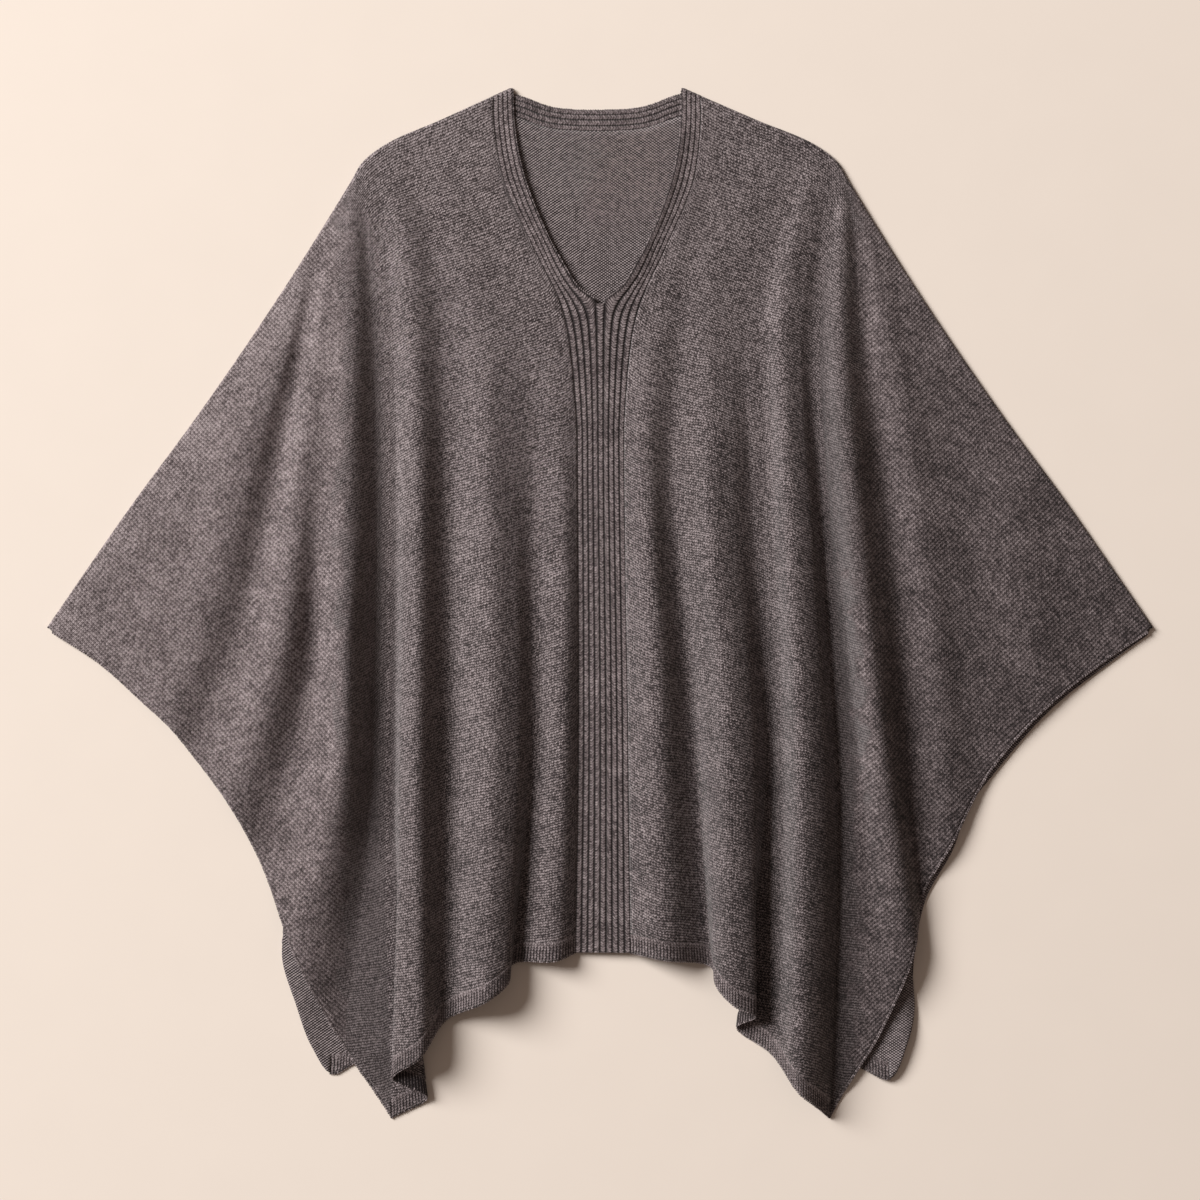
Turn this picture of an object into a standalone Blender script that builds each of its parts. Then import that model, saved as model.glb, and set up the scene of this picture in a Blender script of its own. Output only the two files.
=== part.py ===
"""Knitted poncho sweater, laid flat and face up.

The neck points to +Y, the front faces +Z and the back panel rests on z = 0.
Two wide knitted panels, front and back, are joined along the shoulders and the top of the wings.
The front is made of two halves with a ribbed panel down the middle. Its spare cloth falls
in folds that open towards the hem, and the outermost fold on each side doubles over itself.
"""

import math
from bisect import bisect_right
from collections import namedtuple

import bmesh
import bpy
from mathutils import Vector

# ---- driving dimensions, in millimetres ----
MM = 0.001                  # one millimetre in scene units
WALL = 2.0                  # plain knit
RIB_WALL = 2.6              # ribbed knit
GAP = 0.3                   # clearance kept between neighbouring pieces
HEM_BAND = 17.0             # height of the ribbed hem
NECK_TOP = 480.2            # outer corner of the neck trim on the shoulder line
NECK_HALF = 98.9            # half distance between those two corners
NECK_POINT = (81.4, 488.0)  # inner corner of the neck trim: the highest point of the garment
FRONT_END = -332.0          # lower end of the middle rib panel
ROLL = 2.3                  # radius with which the front turns down over the edge of the back
BACK_INSET = 2.7            # the back panel stops this far inside the rolled edge
BACK_HEM_LEFT = -256.0      # the back hem and its rib run from here
BACK_HEM_RIGHT = 275.0      # to here
BACK_CORNER = 285.0         # further out than this the front lies on the back right to its edge
BAND_HEIGHT = 19.0          # height of the back neck band
TUCK = 20.0                 # a tip that reaches past the back hem sinks to the table over this length
TUCK_START = 14.0           # and starts to sink this far past it
LEVEL_EDGE = 2.0            # the last stitches beside a seam lie level over this width
HEM_GAP = 0.6               # the hem seam crosses folds, where its two walls lean together
CREASE_GAP = 2.0            # the same where the cloth doubles over itself
HEM_REACH = 0.03            # the lowest row of a panel is at most this part of its length
CRISP_START = 0.8           # folds grow sharp from this part of their length to the hem
TURN_FALL = 0.3             # extra fall of the cloth through the inner bend of a doubled fold

KNIT_COLOUR = (0.115, 0.098, 0.094, 1.0)
RIB_COLOUR = (0.100, 0.086, 0.084, 1.0)
BACK_COLOUR = (0.095, 0.082, 0.080, 1.0)

# Upper edge of one side, from the neck corner over the shoulder to the tip of the wing.
EdgePoint = namedtuple("EdgePoint", "x y")
TOP_EDGE = (
    EdgePoint(NECK_HALF, NECK_TOP),
    EdgePoint(150.0, 457.5),
    EdgePoint(203.0, 434.5),    # start of the rounded shoulder corner
    EdgePoint(225.0, 417.5),
    EdgePoint(237.0, 397.6),    # end of the corner
    EdgePoint(284.0, 321.6),
    EdgePoint(334.0, 245.6),
    EdgePoint(387.0, 169.6),
    EdgePoint(443.0, 93.6),
    EdgePoint(524.4, -24.0),    # tip of the wing
)

# The turn of the front over the edge of the back, in parts of ROLL.
RollStep = namedtuple("RollStep", "inset height")
PANEL_ROLL = (RollStep(0.0, 0.5), RollStep(0.3, 1.2))
TRIM_ROLL = (RollStep(0.0, 0.6), RollStep(0.3, 1.3))

# Half widths of the neck trims and the middle rib panel, down the front.
NeckLevel = namedtuple("NeckLevel", "y inner outer")
NECK_LEVELS = (
    NeckLevel(488.8, 81.4, 98.9),
    NeckLevel(467.0, 81.0, 98.7),
    NeckLevel(437.5, 77.9, 96.5),
    NeckLevel(407.0, 71.7, 91.6),
    NeckLevel(379.5, 62.7, 82.4),
    NeckLevel(348.0, 49.4, 67.8),
    NeckLevel(319.7, 34.2, 54.4),
    NeckLevel(299.7, 21.5, 44.5),
    NeckLevel(281.0, 0.15, 37.0),
    NeckLevel(251.0, 0.0, 30.0),
    NeckLevel(213.0, 0.0, 25.7),
    NeckLevel(154.0, 0.0, 22.3),
    NeckLevel(-150.0, 0.0, 24.0),
    NeckLevel(-340.0, 0.0, 26.6),
)

# Sideways drift of the middle line.
CentrePoint = namedtuple("CentrePoint", "y x")
CENTRE_LINE = (
    CentrePoint(-340.0, 2.9),
    CentrePoint(-150.0, 3.2),
    CentrePoint(154.0, 0.8),
    CentrePoint(281.0, 0.3),
    CentrePoint(488.8, -2.9),
)

# Lift of the seams on both sides of the middle rib panel, at the levels in LEVELS.
SeamLift = namedtuple("SeamLift", "shoulder neck chest waist end")
RIGHT_SEAM_LIFT = SeamLift(0.0, 0.0, 0.2, 2.0, 3.0)
LEFT_SEAM_LIFT = SeamLift(0.0, 0.0, 0.2, 0.6, 1.0)

# Upper edge of the back neck band.
BAND_TOP = (
    EdgePoint(0.0, 467.0),
    EdgePoint(19.0, 467.4),
    EdgePoint(38.0, 469.0),
    EdgePoint(52.0, 472.5),
    EdgePoint(66.0, 478.0),
    EdgePoint(84.0, 484.0),
)

# One row for each line that runs down a panel, ordered from the middle to the wing tip.
# run is measured along the upper edge from the neck corner. The three x values stand at the
# levels in LEVELS, the end lies on the hem or on the side edge, and the lifts are the heights
# over whatever the cloth lies on. An end that steps back towards the middle doubles the cloth.
Fold = namedtuple("Fold", "name run neck_x chest_x waist_x end_x end_y neck_up chest_up waist_up end_up")
LEVELS = (0.0, 0.2, 0.4, 0.7, 1.0)

RIGHT_FOLDS = (
    Fold("rib_crest", 30, 66, 44, 55, 60, -337, 1, 10, 20, 20),
    Fold("valley_1", 49, 82, 68, 87, 107, -347, 0, 0, 0, 1),
    Fold("lip_0", 60, 92, 86, 103, 109.5, -361, 1.5, 7, 13, 18),
    Fold("crest_1", 71, 104, 104, 121, 126, -379, 3, 16, 27, 29),
    Fold("lip_1", 84, 124, 124, 143, 147, -390, 2, 11, 19, 20),
    Fold("under_1", 97, 143, 146, 158, 130, -402, 0, 0, 0, 4.5),
    Fold("foot_2", 107, 157, 162, 172, 162, -427, 1, 2, 5, 4),
    Fold("crest_2", 116, 172, 181, 192, 189, -463, 11, 20, 29, 29),
    Fold("lip_2", 126, 188, 198, 212, 208, -479, 7, 14, 19, 15),
    Fold("tip", 136, 203, 212, 226, 218, -489, 0, 0, 0, 0),
    Fold("band_end", 141, 207, 216, 232, 226, -474, 0.5, 1, 1.5, 0),
    Fold("side_flank", 147, 213, 223, 246, 265, -409, 3, 6, 6, 5),
    Fold("side_crest", 156, 227, 238, 263, 298, -325, 13, 22, 26, 13),
    Fold("valley_3", 170, 250, 268, 289, 305, -281, 0, 0, 0, 0),
    Fold("wing_crest", 195, 272, 294, 316, 332, -232, 6, 9, 9, 5),
    Fold("wing_valley", 240, 298, 320, 342, 366, -167, 4, 4, 3, 1),
    Fold("wing_inner", 380, 368, 383, 405, 428, -96, 3, 5, 5, 2.5),
    Fold("wing_outer", 530, 447, 456, 468, 480, -55, 1.5, 2, 1.5, 0.5),
    Fold("wing_tip", 677, 522, 521, 520, 519, -29, 0, 0, 0, 0),
)

LEFT_FOLDS = (
    Fold("rib_crest", 30, -60, -35, -34, -40, -338, 0, 4, 11, 14),
    Fold("valley_1", 49, -80, -67, -62, -84.5, -344, 0, 0, 0, 1),
    Fold("lip_1", 60, -94, -86, -79, -86.5, -359, 1, 8, 15, 18),
    Fold("crest_1", 72, -114, -103, -99, -103, -373, 3, 15, 24, 27),
    Fold("valley_2", 95, -150, -146, -145, -147, -396, 0, 0, 1, 5),
    Fold("crest_2", 114, -180, -173, -174, -170, -429, 9, 17, 26, 28),
    Fold("lip_2", 123, -188, -184, -188, -196, -449, 5, 11, 17, 17),
    Fold("under_2", 130, -196, -193, -194, -164, -469, 0.5, 1, 1.5, 4.5),
    Fold("tip", 138, -203, -201, -203, -198, -489, 0, 0, 0.5, 0),
    Fold("band_end", 142, -207, -205, -208, -207, -475, 0, 0, 0.5, 0),
    Fold("valley_3", 149, -214, -212, -217, -242, -423, 0, 0, 0, 0),
    Fold("side_crest", 165, -234, -236, -240, -285, -342, 13, 20, 26, 13),
    Fold("valley_4", 182, -258, -265, -276, -325, -240, 10, 12, 2, 0),
    Fold("wing_crest", 196, -266, -281, -298, -350, -193, 9, 13, 17, 8),
    Fold("wing_valley", 210, -275, -299, -335, -388, -143, 3, 2, 1, 0),
    Fold("wing_rise", 255, -300, -325, -362, -408, -118, 7, 10, 10, 5),
    Fold("wing_inner", 380, -373, -388, -409, -432, -96, 4, 6, 6, 3),
    Fold("wing_outer", 530, -447, -454, -465, -475, -58, 2, 3, 2.5, 0.5),
    Fold("wing_tip", 677, -522, -521, -520, -519, -29, 0, 0, 0, 0),
)

# The back panel, from its left wing tip to its right one. Along its top, run is measured
# from the neck corner, or across the neckline where the row is marked as neck.
BackLine = namedtuple("BackLine", "place run end_x end_y end_up")
BACK_LINES = (
    BackLine("left", 675, -517, -29, 0),
    BackLine("left", 530, -473, -57, 0),
    BackLine("left", 380, -430, -94, 0),
    BackLine("left", 240, -384, -145, 0),
    BackLine("left", 200, -350, -190, 0),
    BackLine("left", 175, -319, -246, 0),
    BackLine("left", 160, -300, -300, 0),
    BackLine("left", 148, -302, -336, 0),
    BackLine("left", 136, -289, -380, 3),
    BackLine("left", 122, -273, -423, 2),
    BackLine("left", 108, -256, -447, 0),
    BackLine("left", 90, -225, -431, 0),
    BackLine("left", 60, -166, -395, 0),
    BackLine("left", 32, -122, -364, 0),
    BackLine("left", 16, -107, -352, 6),
    BackLine("left", 0, -92, -342, 0),
    BackLine("neck", -84, -70, -331, 0),
    BackLine("neck", -64, -50, -326, 0),
    BackLine("neck", -42, -32, -324, 0),
    BackLine("neck", -20, -14, -322, 0),
    BackLine("neck", 0, 2, -322, 0),
    BackLine("neck", 20, 18, -322, 0),
    BackLine("neck", 42, 36, -324, 0),
    BackLine("neck", 64, 58, -327, 0),
    BackLine("neck", 84, 80, -331, 0),
    BackLine("right", 0, 104, -340, 0),
    BackLine("right", 16, 119, -350, 6),
    BackLine("right", 32, 134, -361, 0),
    BackLine("right", 60, 168, -402, 0),
    BackLine("right", 72, 184, -414, 7),
    BackLine("right", 84, 200, -424, 0),
    BackLine("right", 96, 222, -434, 0),
    BackLine("right", 108, 245, -440, 0),
    BackLine("right", 118, 275, -452, 3),
    BackLine("right", 130, 291, -420, 5),
    BackLine("right", 142, 298, -389, 2),
    BackLine("right", 156, 297, -360, 0),
    BackLine("right", 165, 300, -325, 0),
    BackLine("right", 175, 309, -283, 0),
    BackLine("right", 195, 336, -233, 0),
    BackLine("right", 225, 351, -192, 0),
    BackLine("right", 250, 369, -169, 0),
    BackLine("right", 380, 431, -99, 0),
    BackLine("right", 530, 483, -58, 0),
    BackLine("right", 675, 520, -31, 0),
)
BACK_LIFT_START = 0.62      # the back lies flat above this part of its length

# How far down each line the rows of the mesh stand. One of them is at the point of the neck.
V_PART = 0.2455
UPPER_PARTS = (0.06, 0.12, 0.18)
LOWER_PARTS = (0.3, 0.37, 0.45, 0.53, 0.61, 0.69, 0.77, 0.84, 0.9, 0.945)
BACK_PARTS = (0.0, 0.15, 0.3, 0.45, 0.58, 0.68, 0.78, 0.88, 0.95)
SOFT_STEPS = (0.0, 0.5)     # mesh columns from one fold line to the next, as parts of the way
SHARP_STEPS = (0.0, 0.33, 0.67)     # the same beside a lip and inside a doubled fold
RIB_COLUMNS = 4
TRIM_COLUMNS = 2


# ---- curves ----
def smooth_curve(knots, values):
    """A rising or falling curve through the values that never swings past them."""
    count = len(knots)
    steps = [knots[i + 1] - knots[i] for i in range(count - 1)]
    slopes = [(values[i + 1] - values[i]) / steps[i] for i in range(count - 1)]
    tangents = [slopes[0]]
    for i in range(1, count - 1):
        if slopes[i - 1] * slopes[i] <= 0.0:
            tangents.append(0.0)
            continue
        before = 2.0 * steps[i] + steps[i - 1]
        after = steps[i] + 2.0 * steps[i - 1]
        tangents.append((before + after) / (before / slopes[i - 1] + after / slopes[i]))
    tangents.append(slopes[-1])

    def value_at(knot):
        i = min(max(bisect_right(knots, knot) - 1, 0), count - 2)
        w = min(max((knot - knots[i]) / steps[i], 0.0), 1.0)
        rise = (values[i + 1] - values[i]) * (3.0 - 2.0 * w) * w * w
        lean = steps[i] * w * (1.0 - w) * (tangents[i] * (1.0 - w) - tangents[i + 1] * w)
        return values[i] + rise + lean

    return value_at


def smooth_step(value):
    w = min(max(value, 0.0), 1.0)
    return w * w * (3.0 - 2.0 * w)


def tangents_through(points):
    """Tangents of a soft line through the points, weighted by the distances between them."""
    spans = [max((points[i + 1] - points[i]).length, 1e-6) for i in range(len(points) - 1)]
    slopes = [(points[i + 1] - points[i]) / spans[i] for i in range(len(spans))]
    tangents = [slopes[0]]
    for i in range(1, len(points) - 1):
        total = spans[i - 1] + spans[i]
        tangents.append((slopes[i - 1] * spans[i] + slopes[i] * spans[i - 1]) / total)
    tangents.append(slopes[-1])
    return spans, slopes, tangents


def cross_points(points, steps, corner, bends, crispness):
    """Points across a row of fold lines, which breaks at the corner and turns down at the bends."""
    spans, slopes, tangents = tangents_through(points)
    for bend in bends:
        tangents[bend].z -= TURN_FALL * crispness
    across = []
    for i, span in enumerate(spans):
        start, end = tangents[i], tangents[i + 1]
        if i + 1 == corner:
            end = end.lerp(slopes[i], crispness)
        if i == corner:
            start = start.lerp(slopes[i], crispness)
        for w in steps[i]:
            hump = w * (1.0 - w)
            point = points[i].lerp(points[i + 1], w * w * (3.0 - 2.0 * w))
            across.append(point + span * hump * (start * (1.0 - w) - end * w))
    across.append(points[-1].copy())
    return across


# ---- outlines ----
top_runs = [0.0]
for first, second in zip(TOP_EDGE, TOP_EDGE[1:]):
    top_runs.append(top_runs[-1] + math.hypot(second.x - first.x, second.y - first.y))
top_x = smooth_curve(top_runs, [point.x for point in TOP_EDGE])
top_y = smooth_curve(top_runs, [point.y for point in TOP_EDGE])
levels_up = sorted(NECK_LEVELS)
inner_half = smooth_curve([level.y for level in levels_up], [level.inner for level in levels_up])
outer_half = smooth_curve([level.y for level in levels_up], [level.outer for level in levels_up])
centre_x = smooth_curve([point.y for point in CENTRE_LINE], [point.x for point in CENTRE_LINE])
band_top = smooth_curve([point.x for point in BAND_TOP], [point.y for point in BAND_TOP])


def top_edge(side, run, inset):
    """Point on the upper edge of one side (+1 right, -1 left), moved into the cloth."""
    tangent = Vector((top_x(run + 1.0) - top_x(run - 1.0), top_y(run + 1.0) - top_y(run - 1.0)))
    tangent.normalize()
    drift = centre_x(NECK_TOP) * max(0.0, 1.0 - run / top_runs[2])
    x = top_x(run) + tangent.y * inset
    y = top_y(run) - tangent.x * inset
    return Vector((side * x + drift, y))


def band_bottom(x):
    slope = band_top(abs(x) + 1.0) - band_top(abs(x))
    return band_top(abs(x)) - BAND_HEIGHT * math.hypot(1.0, slope)


hem_lines = [line for line in BACK_LINES if BACK_HEM_LEFT <= line.end_x <= BACK_HEM_RIGHT]
back_hem = smooth_curve([line.end_x for line in hem_lines], [line.end_y for line in hem_lines])


def ground(x, y, wall):
    """Middle height of a cloth that lies on the back panel, or on the table past its hem."""
    over_back = 1.5 * WALL + GAP + 0.5 * (wall - WALL)
    past_hem = back_hem(min(max(x, BACK_HEM_LEFT), BACK_HEM_RIGHT)) - y
    inside = 1.0 - smooth_step((past_hem - TUCK_START) / TUCK)
    if abs(x) > BACK_CORNER:
        inside = 1.0
    return 0.5 * wall + (over_back - 0.5 * wall) * inside


# ---- fold lines ----
def fold_curves(side, fold):
    """Sideways place and lift of one fold line, as curves of the part of its length."""
    top = top_edge(side, fold.run, ROLL)
    places = smooth_curve(LEVELS, [top.x, fold.neck_x, fold.chest_x, fold.waist_x, fold.end_x])
    lifts = smooth_curve(LEVELS, [0.0, fold.neck_up, fold.chest_up, fold.waist_up, fold.end_up])
    return top, places, lifts


def rib_edge_lift(side):
    """Lift along the seams of the middle rib panel."""
    return smooth_curve(LEVELS, RIGHT_SEAM_LIFT if side > 0 else LEFT_SEAM_LIFT)


def row_part(part, length):
    """The row above the hem is measured in millimetres, the others in parts of the length."""
    return 1.0 - min(HEM_REACH, HEM_BAND / length) if part is None else part


def front_rows():
    """Parts of the length for each row below the rolled edge."""
    return [0.0, *UPPER_PARTS, V_PART, *LOWER_PARTS, None, 1.0]


def inner_line_point(side, part):
    """Point on the seam between one half of the front and the ribs beside it."""
    top = top_edge(side, 0.0, ROLL)
    down = row_part(part, top.y - FRONT_END)
    y = top.y + (FRONT_END - top.y) * down
    return Vector((centre_x(y) + side * outer_half(y), y, rib_edge_lift(side)(down)))


def front_grid(side, folds):
    """Rows of points over one half of the front, from the rolled edge down to hem and side."""
    curves = [fold_curves(side, fold) for fold in folds]
    names = ["seam", *[fold.name for fold in folds]]
    runs = [0.0, *[float(fold.run) for fold in folds]]
    corner = names.index("tip")
    bends = [i for i, name in enumerate(names) if name.startswith("under")]
    pairs = [first + second for first, second in zip(names, names[1:])]
    steps = [SHARP_STEPS if is_sharp(pair) else SOFT_STEPS for pair in pairs]
    corner_column = sum(len(places) for places in steps[:corner])
    along_edge = []
    seam_gaps = []
    for i, places in enumerate(steps):
        along_edge += [runs[i] + (runs[i + 1] - runs[i]) * place for place in places]
        seam_gaps += [CREASE_GAP if is_sharp(pairs[i]) else HEM_GAP] * len(places)
    along_edge.append(runs[-1])
    rows = []
    for roll in PANEL_ROLL:
        places = [top_edge(side, run, roll.inset * ROLL) for run in along_edge]
        rows.append([Vector((*place, roll.height * ROLL)) for place in places])
    for part in front_rows():
        points = [inner_line_point(side, part)]
        for fold, (top, places, lifts) in zip(folds, curves):
            length = math.hypot(fold.end_x - top.x, fold.end_y - top.y)
            down = row_part(part, length)
            points.append(Vector((places(down), top.y + (fold.end_y - top.y) * down, lifts(down))))
        reach = 1.0 if part is None else part
        crispness = smooth_step((reach - CRISP_START) / (1.0 - CRISP_START))
        row = cross_points(points, steps, corner, bends, crispness)
        if part == 0.0:
            row = [Vector((*top_edge(side, run, ROLL), 0.0)) for run in along_edge]
        for point in row:
            point.z = max(point.z, 0.0) + ground(point.x, point.y, WALL)
        rows.append(row)
    for row in rows:
        row.insert(corner_column, level_point(row[corner_column], row[corner_column - 1]))
        row.insert(1, level_point(row[0], row[1]))
    seam_gaps = [HEM_GAP, *seam_gaps[:corner_column], HEM_GAP, HEM_GAP]
    return rows, seam_gaps


def is_sharp(pair):
    return "lip" in pair or "under" in pair


def level_point(edge, neighbour):
    """A point beside a seam, as high as the seam itself."""
    place = toward(edge, neighbour, LEVEL_EDGE)
    place.z = edge.z
    return place


def toward(point, other, distance):
    """The point moved a distance towards another one."""
    return point + (other - point).normalized() * distance


def hem_grid(rows, seam_gaps):
    """The ribbed hem of one half: the two last rows of the panel, a gap clear of it all round."""
    upper = [toward(rows[-2][k], rows[-1][k], gap) for k, gap in enumerate(seam_gaps)]
    lower = [point.copy() for point in rows[-1][:len(seam_gaps)]]
    middle = [a.lerp(b, 0.5) for a, b in zip(upper, lower)]
    grid = [upper, middle, lower]
    for row in grid:
        row[-1] = toward(row[-1], row[-2], HEM_GAP)
    return grid


# ---- middle ribs and neck ----
def seam_rows():
    """Heights and lifts shared by the seams of both halves, from the shoulder to the hem."""
    return [part for part in front_rows() if part is not None]


def trim_grid(side):
    """One neck trim: rolled over the shoulder, then down to the point of the neck."""
    rows = []
    inner_top = Vector((centre_x(NECK_TOP) + side * NECK_POINT[0], NECK_POINT[1]))
    outer_top = Vector((centre_x(NECK_TOP) + side * (NECK_HALF - GAP), NECK_TOP + 0.5 * GAP))
    along = (outer_top - inner_top).normalized()
    inward = Vector((-side * along.y, side * along.x)) * -1.0
    lie = 1.5 * WALL + GAP + 0.5 * (RIB_WALL - WALL)
    for roll in (*TRIM_ROLL, RollStep(1.0, lie / ROLL)):
        row = []
        for k in range(TRIM_COLUMNS + 1):
            place = inner_top.lerp(outer_top, k / TRIM_COLUMNS) + inward * roll.inset * ROLL
            row.append(Vector((*place, roll.height * ROLL)))
        rows.append(row)
    for part in seam_rows()[1:]:
        seam = inner_line_point(side, part)
        if part > V_PART:
            break
        y = seam.y + (GAP if part == V_PART else 0.0)
        row = []
        for k in range(TRIM_COLUMNS + 1):
            inner = inner_half(y)
            half = inner + (outer_half(y) - GAP - inner) * k / TRIM_COLUMNS
            row.append(Vector((centre_x(y) + side * half, y, seam.z + lie)))
        rows.append(row)
    return rows


def rib_panel_grid():
    """The middle rib panel, from the point of the neck down to the hem."""
    rows = []
    for part in front_rows():
        if part is None:
            continue
        if part < V_PART:
            continue
        left, right = inner_line_point(-1, part), inner_line_point(1, part)
        left.x += GAP
        right.x -= GAP
        row = []
        for k in range(RIB_COLUMNS + 1):
            point = left.lerp(right, k / RIB_COLUMNS)
            point.z += ground(point.x, point.y, RIB_WALL)
            row.append(point)
        rows.append(row)
    return rows


def neck_band_grid():
    """The back neck band, flat on the table between the two shoulders."""
    xs = [line.run for line in BACK_LINES if line.place == "neck"]
    rows = []
    for part in (0.0, 0.5, 1.0):
        row = []
        for x in xs:
            y = band_top(abs(x)) + (band_bottom(x) - band_top(abs(x))) * part
            row.append(Vector((x + centre_x(NECK_TOP), y, 0.5 * WALL)))
        rows.append(row)
    return rows


# ---- back ----
def back_grid():
    """Rows of points over the back panel, from its upper edge down to its hem and sides."""
    tops = []
    for line in BACK_LINES:
        if line.place == "neck":
            tops.append(Vector((line.run + centre_x(NECK_TOP), band_bottom(line.run) - GAP)))
        else:
            tops.append(top_edge(1 if line.place == "right" else -1, float(line.run), BACK_INSET))
    hem_rows = [i for i, line in enumerate(BACK_LINES) if line in hem_lines]
    rows = []
    for part in (*BACK_PARTS, None, 1.0):
        row = []
        for line, top in zip(BACK_LINES, tops):
            end = Vector((line.end_x, line.end_y))
            down = row_part(part, (end - top).length)
            place = top.lerp(end, down)
            lift = line.end_up * smooth_step((down - BACK_LIFT_START) / (1.0 - BACK_LIFT_START))
            row.append(Vector((*place, lift + 0.5 * WALL)))
        rows.append(row)
    return rows, hem_rows[0], hem_rows[-1]


def back_hem_grid(rows, first, last):
    """The ribbed hem of the back, a gap clear of the panel above and beside it."""
    upper = [toward(rows[-2][k], rows[-1][k], HEM_GAP) for k in range(first, last + 1)]
    lower = [rows[-1][k].copy() for k in range(first, last + 1)]
    grid = [upper, lower]
    for row in grid:
        row[0] = toward(row[0], row[1], HEM_GAP)
        row[-1] = toward(row[-1], row[-2], HEM_GAP)
    return grid


# ---- objects ----
def knit_material(name, colour):
    material = bpy.data.materials.new(name)
    material.use_nodes = True
    shader = material.node_tree.nodes["Principled BSDF"]
    shader.inputs["Base Color"].default_value = colour
    shader.inputs["Roughness"].default_value = 0.95
    shader.inputs["Metallic"].default_value = 0.0
    material.diffuse_color = colour
    return material


def cloth(name, grid, wall, colour, collection, left_out=None):
    """A cloth wall over a grid of points, given its thickness by Solidify."""
    mesh = bpy.data.meshes.new(name)
    work = bmesh.new()
    columns = len(grid[0])
    verts = [[work.verts.new(point * MM) for point in row] for row in grid]
    for j in range(len(grid) - 1):
        for i in range(columns - 1):
            if left_out and left_out(i, j):
                continue
            work.faces.new((verts[j][i], verts[j][i + 1], verts[j + 1][i + 1], verts[j + 1][i]))
    loose = [vert for vert in work.verts if not vert.link_faces]
    bmesh.ops.delete(work, geom=loose, context="VERTS")
    work.normal_update()
    if sum(face.normal.z * face.calc_area() for face in work.faces) < 0.0:
        bmesh.ops.reverse_faces(work, faces=work.faces)
    work.to_mesh(mesh)
    work.free()
    mesh.shade_smooth()
    piece = bpy.data.objects.new(name, mesh)
    mesh.materials.append(knit_material(name + "_knit", colour))
    collection.objects.link(piece)
    thickness = piece.modifiers.new("wall", "SOLIDIFY")
    thickness.thickness = wall * MM
    thickness.offset = 0.0
    return piece


def build_front(side, folds, label, collection):
    """One half of the front, with its ribbed hem and neck trim."""
    rows, seam_gaps = front_grid(side, folds)
    last = len(rows) - 2
    corner = len(seam_gaps) - 1
    cloth("front_" + label, rows, WALL, KNIT_COLOUR, collection, lambda i, j: j == last and i < corner)
    cloth("hem_rib_front_" + label, hem_grid(rows, seam_gaps), WALL, RIB_COLOUR, collection)
    cloth("neck_trim_" + label, trim_grid(side), RIB_WALL, RIB_COLOUR, collection)


def build_back(collection):
    """The back panel with its ribbed hem and the band along its neckline."""
    rows, first, end = back_grid()
    last = len(rows) - 2
    hem_cells = range(first, end)
    cloth("back_panel", rows, WALL, BACK_COLOUR, collection, lambda i, j: j == last and i in hem_cells)
    cloth("hem_rib_back", back_hem_grid(rows, first, end), WALL, RIB_COLOUR, collection)
    cloth("back_neck_band", neck_band_grid(), WALL, RIB_COLOUR, collection)


def build():
    for leftover in list(bpy.data.objects):
        bpy.data.objects.remove(leftover, do_unlink=True)
    collection = bpy.data.collections.new("poncho_sweater")
    bpy.context.scene.collection.children.link(collection)
    build_front(1, RIGHT_FOLDS, "right", collection)
    build_front(-1, LEFT_FOLDS, "left", collection)
    cloth("centre_rib_panel", rib_panel_grid(), RIB_WALL, RIB_COLOUR, collection)
    build_back(collection)


build()
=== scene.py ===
# Knitted poncho sweater, laid flat and face up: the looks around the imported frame.
# Lengths in the dictionaries and tables are millimetres unless a note says otherwise.
import math
from functools import partialmethod

import bmesh
import bpy
import numpy as np
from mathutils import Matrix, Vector


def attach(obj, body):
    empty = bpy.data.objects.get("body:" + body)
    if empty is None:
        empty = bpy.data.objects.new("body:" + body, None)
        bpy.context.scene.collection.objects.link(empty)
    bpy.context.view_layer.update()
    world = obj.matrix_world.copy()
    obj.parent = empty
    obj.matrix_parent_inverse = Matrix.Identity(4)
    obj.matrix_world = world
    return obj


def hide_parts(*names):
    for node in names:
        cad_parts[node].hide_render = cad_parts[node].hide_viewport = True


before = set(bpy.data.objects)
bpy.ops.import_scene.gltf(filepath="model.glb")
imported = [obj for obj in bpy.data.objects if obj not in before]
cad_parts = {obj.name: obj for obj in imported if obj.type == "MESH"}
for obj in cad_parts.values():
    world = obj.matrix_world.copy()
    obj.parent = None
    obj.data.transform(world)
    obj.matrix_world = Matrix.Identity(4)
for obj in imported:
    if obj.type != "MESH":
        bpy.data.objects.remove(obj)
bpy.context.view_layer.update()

mm = 0.001
print("frame loaded")

# Sizes shared by every piece of the garment.
garment = {
    "plainWall": 2.0,
    "ribWall": 2.6,
    "gap": 0.3,
    "neckTop": 480.2,
    "neckHalf": 98.9,
    "neckPoint": (81.4, 488.0),
    "vPoint": 281.0,
    "frontEnd": -332.0,
    "roll": 2.3,            # radius of the rolled edge along the shoulders and wings
    "rollStart": 1.15,      # height at which it begins
    "rollSteps": 4,
    "backInset": 2.7,
    "backHemLeft": -256.0,
    "backHemRight": 275.0,
    "backCorner": 285.0,
    "hemBand": 17.0,
    "hemReach": 0.03,       # the hem takes no more than this part of a line
    "tuckStart": 14.0,      # a tip past the back hem starts to sink here
    "tuck": 20.0,           # and sinks to the table over this length
    "seam": 0.05,           # what is left open where two knits are joined
}

# Upper edge of one side: neck corner, shoulder, rounded corner, wing tip.
topEdge = [
    (98.9, 480.2), (150.0, 457.5), (203.0, 434.5), (225.0, 417.5), (237.0, 397.6),
    (284.0, 321.6), (334.0, 245.6), (387.0, 169.6), (443.0, 93.6), (524.4, -24.0),
]

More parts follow.
